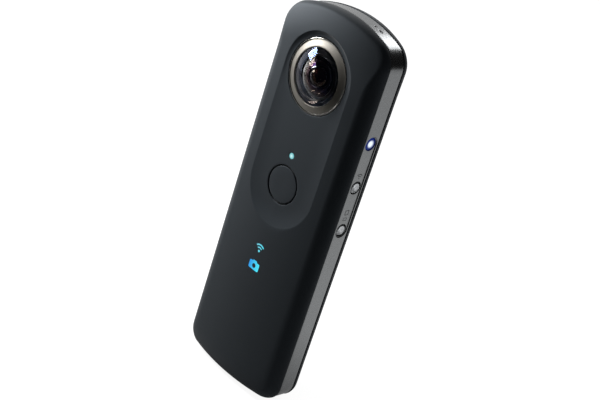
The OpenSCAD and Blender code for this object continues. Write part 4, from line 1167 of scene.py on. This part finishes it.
def studio_floor(name, tone):
    """Pale matt floor that keeps a soft shadow. It shows white to the camera, except round the object's
    foot, where its glow is dimmed as painted shade so that the cast shadow shows there.
    Metal and glass see it pale behind the object and at its left, dark elsewhere. From below it is clear."""
    material, tree, shader, place = blank(name)
    grain = add(tree, "TexNoise", {"Vector": place, "Scale": per(40), "Detail": 2.0})
    rough = add(tree, "MapRange", {"Value": grain, "To Min": 0.85, "To Max": 0.95})
    reach = add(tree, "VectorMath", {0: place}, operation="LENGTH")
    # Glow for the camera: white, dimmed to 0.9 within 7 cm of the object's foot. This is painted shade that
    # lets the soft shadow show there.
    white = add(tree, "MapRange", {"Value": reach, "From Max": 0.07, "To Min": 0.9, "To Max": 1.0})
    x, y, _ = add(tree, "SeparateXYZ", {0: place}).outputs
    side = add(tree, "Math", {0: x, 1: 0.1, 2: y}, operation="MULTIPLY_ADD")
    behind = add(tree, "MapRange", {"Value": side, "From Min": -0.02, "From Max": 0.05})
    far = add(
        tree, "MapRange", {"Value": reach, "From Min": 0.15, "From Max": 0.3, "To Min": 0.72, "To Max": 0.68}
    )
    shine = add(tree, "Math", {0: behind, 1: far}, operation="MULTIPLY")
    left = add(tree, "MapRange", {"Value": x, "From Min": -0.09, "From Max": -0.16, "To Max": 0.45})
    shine = add(tree, "Math", {0: shine, 1: left}, operation="MAXIMUM")
    seen = add(tree, "LightPath").outputs["Is Camera Ray"]
    level = add(tree, "Mix", {0: seen, 2: shine, 3: white})
    glow = add(tree, "Math", {0: seen_rays(tree), 1: level}, operation="MULTIPLY")
    under = add(tree, "NewGeometry").outputs["Backfacing"]
    top = add(tree, "Math", {0: 1.0, 1: under}, operation="SUBTRACT")
    wire(
        shader, Base_Color=tone, Roughness=rough, Specular_IOR_Level=0.0, Emission_Color=(1, 1, 1, 1),
        Emission_Strength=glow, Alpha=top,
    )
    return material


def studio_world(name):
    """Room round the stage: white to the camera. Metal and glass see it dim in front of the object and
    pale behind it to its left, and matt surfaces get a low even light from it."""
    world = bpy.data.worlds.new(name)
    world.use_nodes = True
    tree = world.node_tree
    tree.nodes.clear()
    x, y, _ = add(tree, "SeparateXYZ", {0: add(tree, "TexCoord").outputs["Generated"]}).outputs
    left = add(tree, "MapRange", {"Value": x, "From Min": 0.0, "From Max": -0.3})
    behind = add(tree, "MapRange", {"Value": y, "From Min": 0.62, "From Max": 0.74})
    pale = add(tree, "Math", {0: left, 1: behind}, operation="MULTIPLY")
    pale = add(tree, "Math", {0: pale, 1: seen_rays(tree)}, operation="MULTIPLY")
    level = add(tree, "MapRange", {"Value": pale, "To Min": 0.012, "To Max": 0.8})
    rays = add(tree, "LightPath").outputs
    level = add(tree, "Math", {0: level, 1: rays["Is Camera Ray"]}, operation="MAXIMUM")
    level = add(tree, "Math", {0: rays["Is Diffuse Ray"], 1: 0.1, 2: level}, operation="MULTIPLY_ADD")
    sky = add(tree, "Background", {"Color": (1, 1, 1, 1), "Strength": level})
    add(tree, "OutputWorld", {"Surface": sky})
    return world


class CAMERA_OT_stage(bpy.types.Operator):
    """Sets the floor, the studio lamps and the camera"""

    bl_idname = "camera360.stage"
    bl_label = "Stage"

    def execute(self, context):
        scene = context.scene
        across, back = np.meshgrid(np.linspace(-0.4, 3, 18), [-0.1, 0, 0.1, 0.5, 3])
        mesh = join_grids("studio_floor", [(coords(across, back, 0), False)], (0, 0, -1))
        mesh.materials.append(studio_floor("Studio floor", scene.camera_colours.floor))
        floor = bpy.data.objects.new("studio_floor", mesh)
        scene.collection.objects.link(floor)
        # Azimuth and elevation in degrees, distance, width and height in metres, then watts
        add_softbox("Key softbox", -66, 20, 0.2, 0.08, 0.065, 0.54)
        add_softbox("Side panel", -92, 6, 0.5, 0.4, 0.5, 1.0)
        add_softbox("Back softbox", -170, 37, 0.7, 0.27, 0.15, 0.75)
        scene.world = studio_world("Studio")
        # Camera fitted to the outline: its focal length, its three axes and its place
        lens = bpy.data.cameras.new("Photo camera")
        lens.lens, lens.sensor_width = 72.217, 36.0
        lens.clip_start = 0.01
        view = bpy.data.objects.new("Photo camera", lens)
        scene.collection.objects.link(view)
        right, up = (0.66459, 0.68934, 0.28831), (-0.47322, 0.08969, 0.87637)
        back = (0.57826, -0.71886, 0.38582)
        turned = Matrix((right, up, back)).transposed().to_4x4()
        turned.translation = (223.804 * MM, -275.209 * MM, 214.668 * MM)
        view.matrix_world = turned
        scene.camera = view
        scene.view_settings.view_transform = "Standard"
        return {"FINISHED"}


class CAMERA_PT_sidebar(bpy.types.Panel):
    """Lists the pieces and their sizes"""

    bl_idname = "CAMERA_PT_sidebar"
    bl_label = "360 camera"
    bl_space_type = "VIEW_3D"
    bl_region_type = "UI"
    bl_category = "360 camera"

    def draw(self, context):
        column = self.layout.column()
        for operator in OPERATORS:
            column.operator(operator.bl_idname)
        for group in GROUPS:
            sizes = getattr(context.scene, group)
            for name in sizes.bl_rna.properties.keys():
                if name not in ("rna_type", "name"):
                    column.prop(sizes, name)


GROUPS = {
    "body_sizes": BodySizes,
    "lens_sizes": LensSizes,
    "front_sizes": FrontSizes,
    "key_sizes": KeySizes,
    "camera_colours": CameraColours,
}
OPERATORS = (
    CAMERA_OT_covers,
    CAMERA_OT_band,
    CAMERA_OT_lenses,
    CAMERA_OT_shutter,
    CAMERA_OT_lamps,
    CAMERA_OT_side_buttons,
    CAMERA_OT_base,
    CAMERA_OT_inside,
    CAMERA_OT_stage,
)


def register():
    for group in (*GROUPS.values(), *OPERATORS, CAMERA_PT_sidebar):
        bpy.utils.register_class(group)
    for name, group in GROUPS.items():
        setattr(bpy.types.Scene, name, bpy.props.PointerProperty(type=group))


def unregister():
    for name in GROUPS:
        delattr(bpy.types.Scene, name)
    for group in (CAMERA_PT_sidebar, *OPERATORS, *GROUPS.values()):
        bpy.utils.unregister_class(group)


def main():
    register()
    bpy.ops.camera360.covers()
    bpy.ops.camera360.band()
    bpy.ops.camera360.lenses()
    bpy.ops.camera360.shutter()
    bpy.ops.camera360.lamps()
    bpy.ops.camera360.side_buttons()
    bpy.ops.camera360.base()
    bpy.ops.camera360.inside()
    bpy.ops.camera360.stage()


if __name__ == "__main__":
    main()
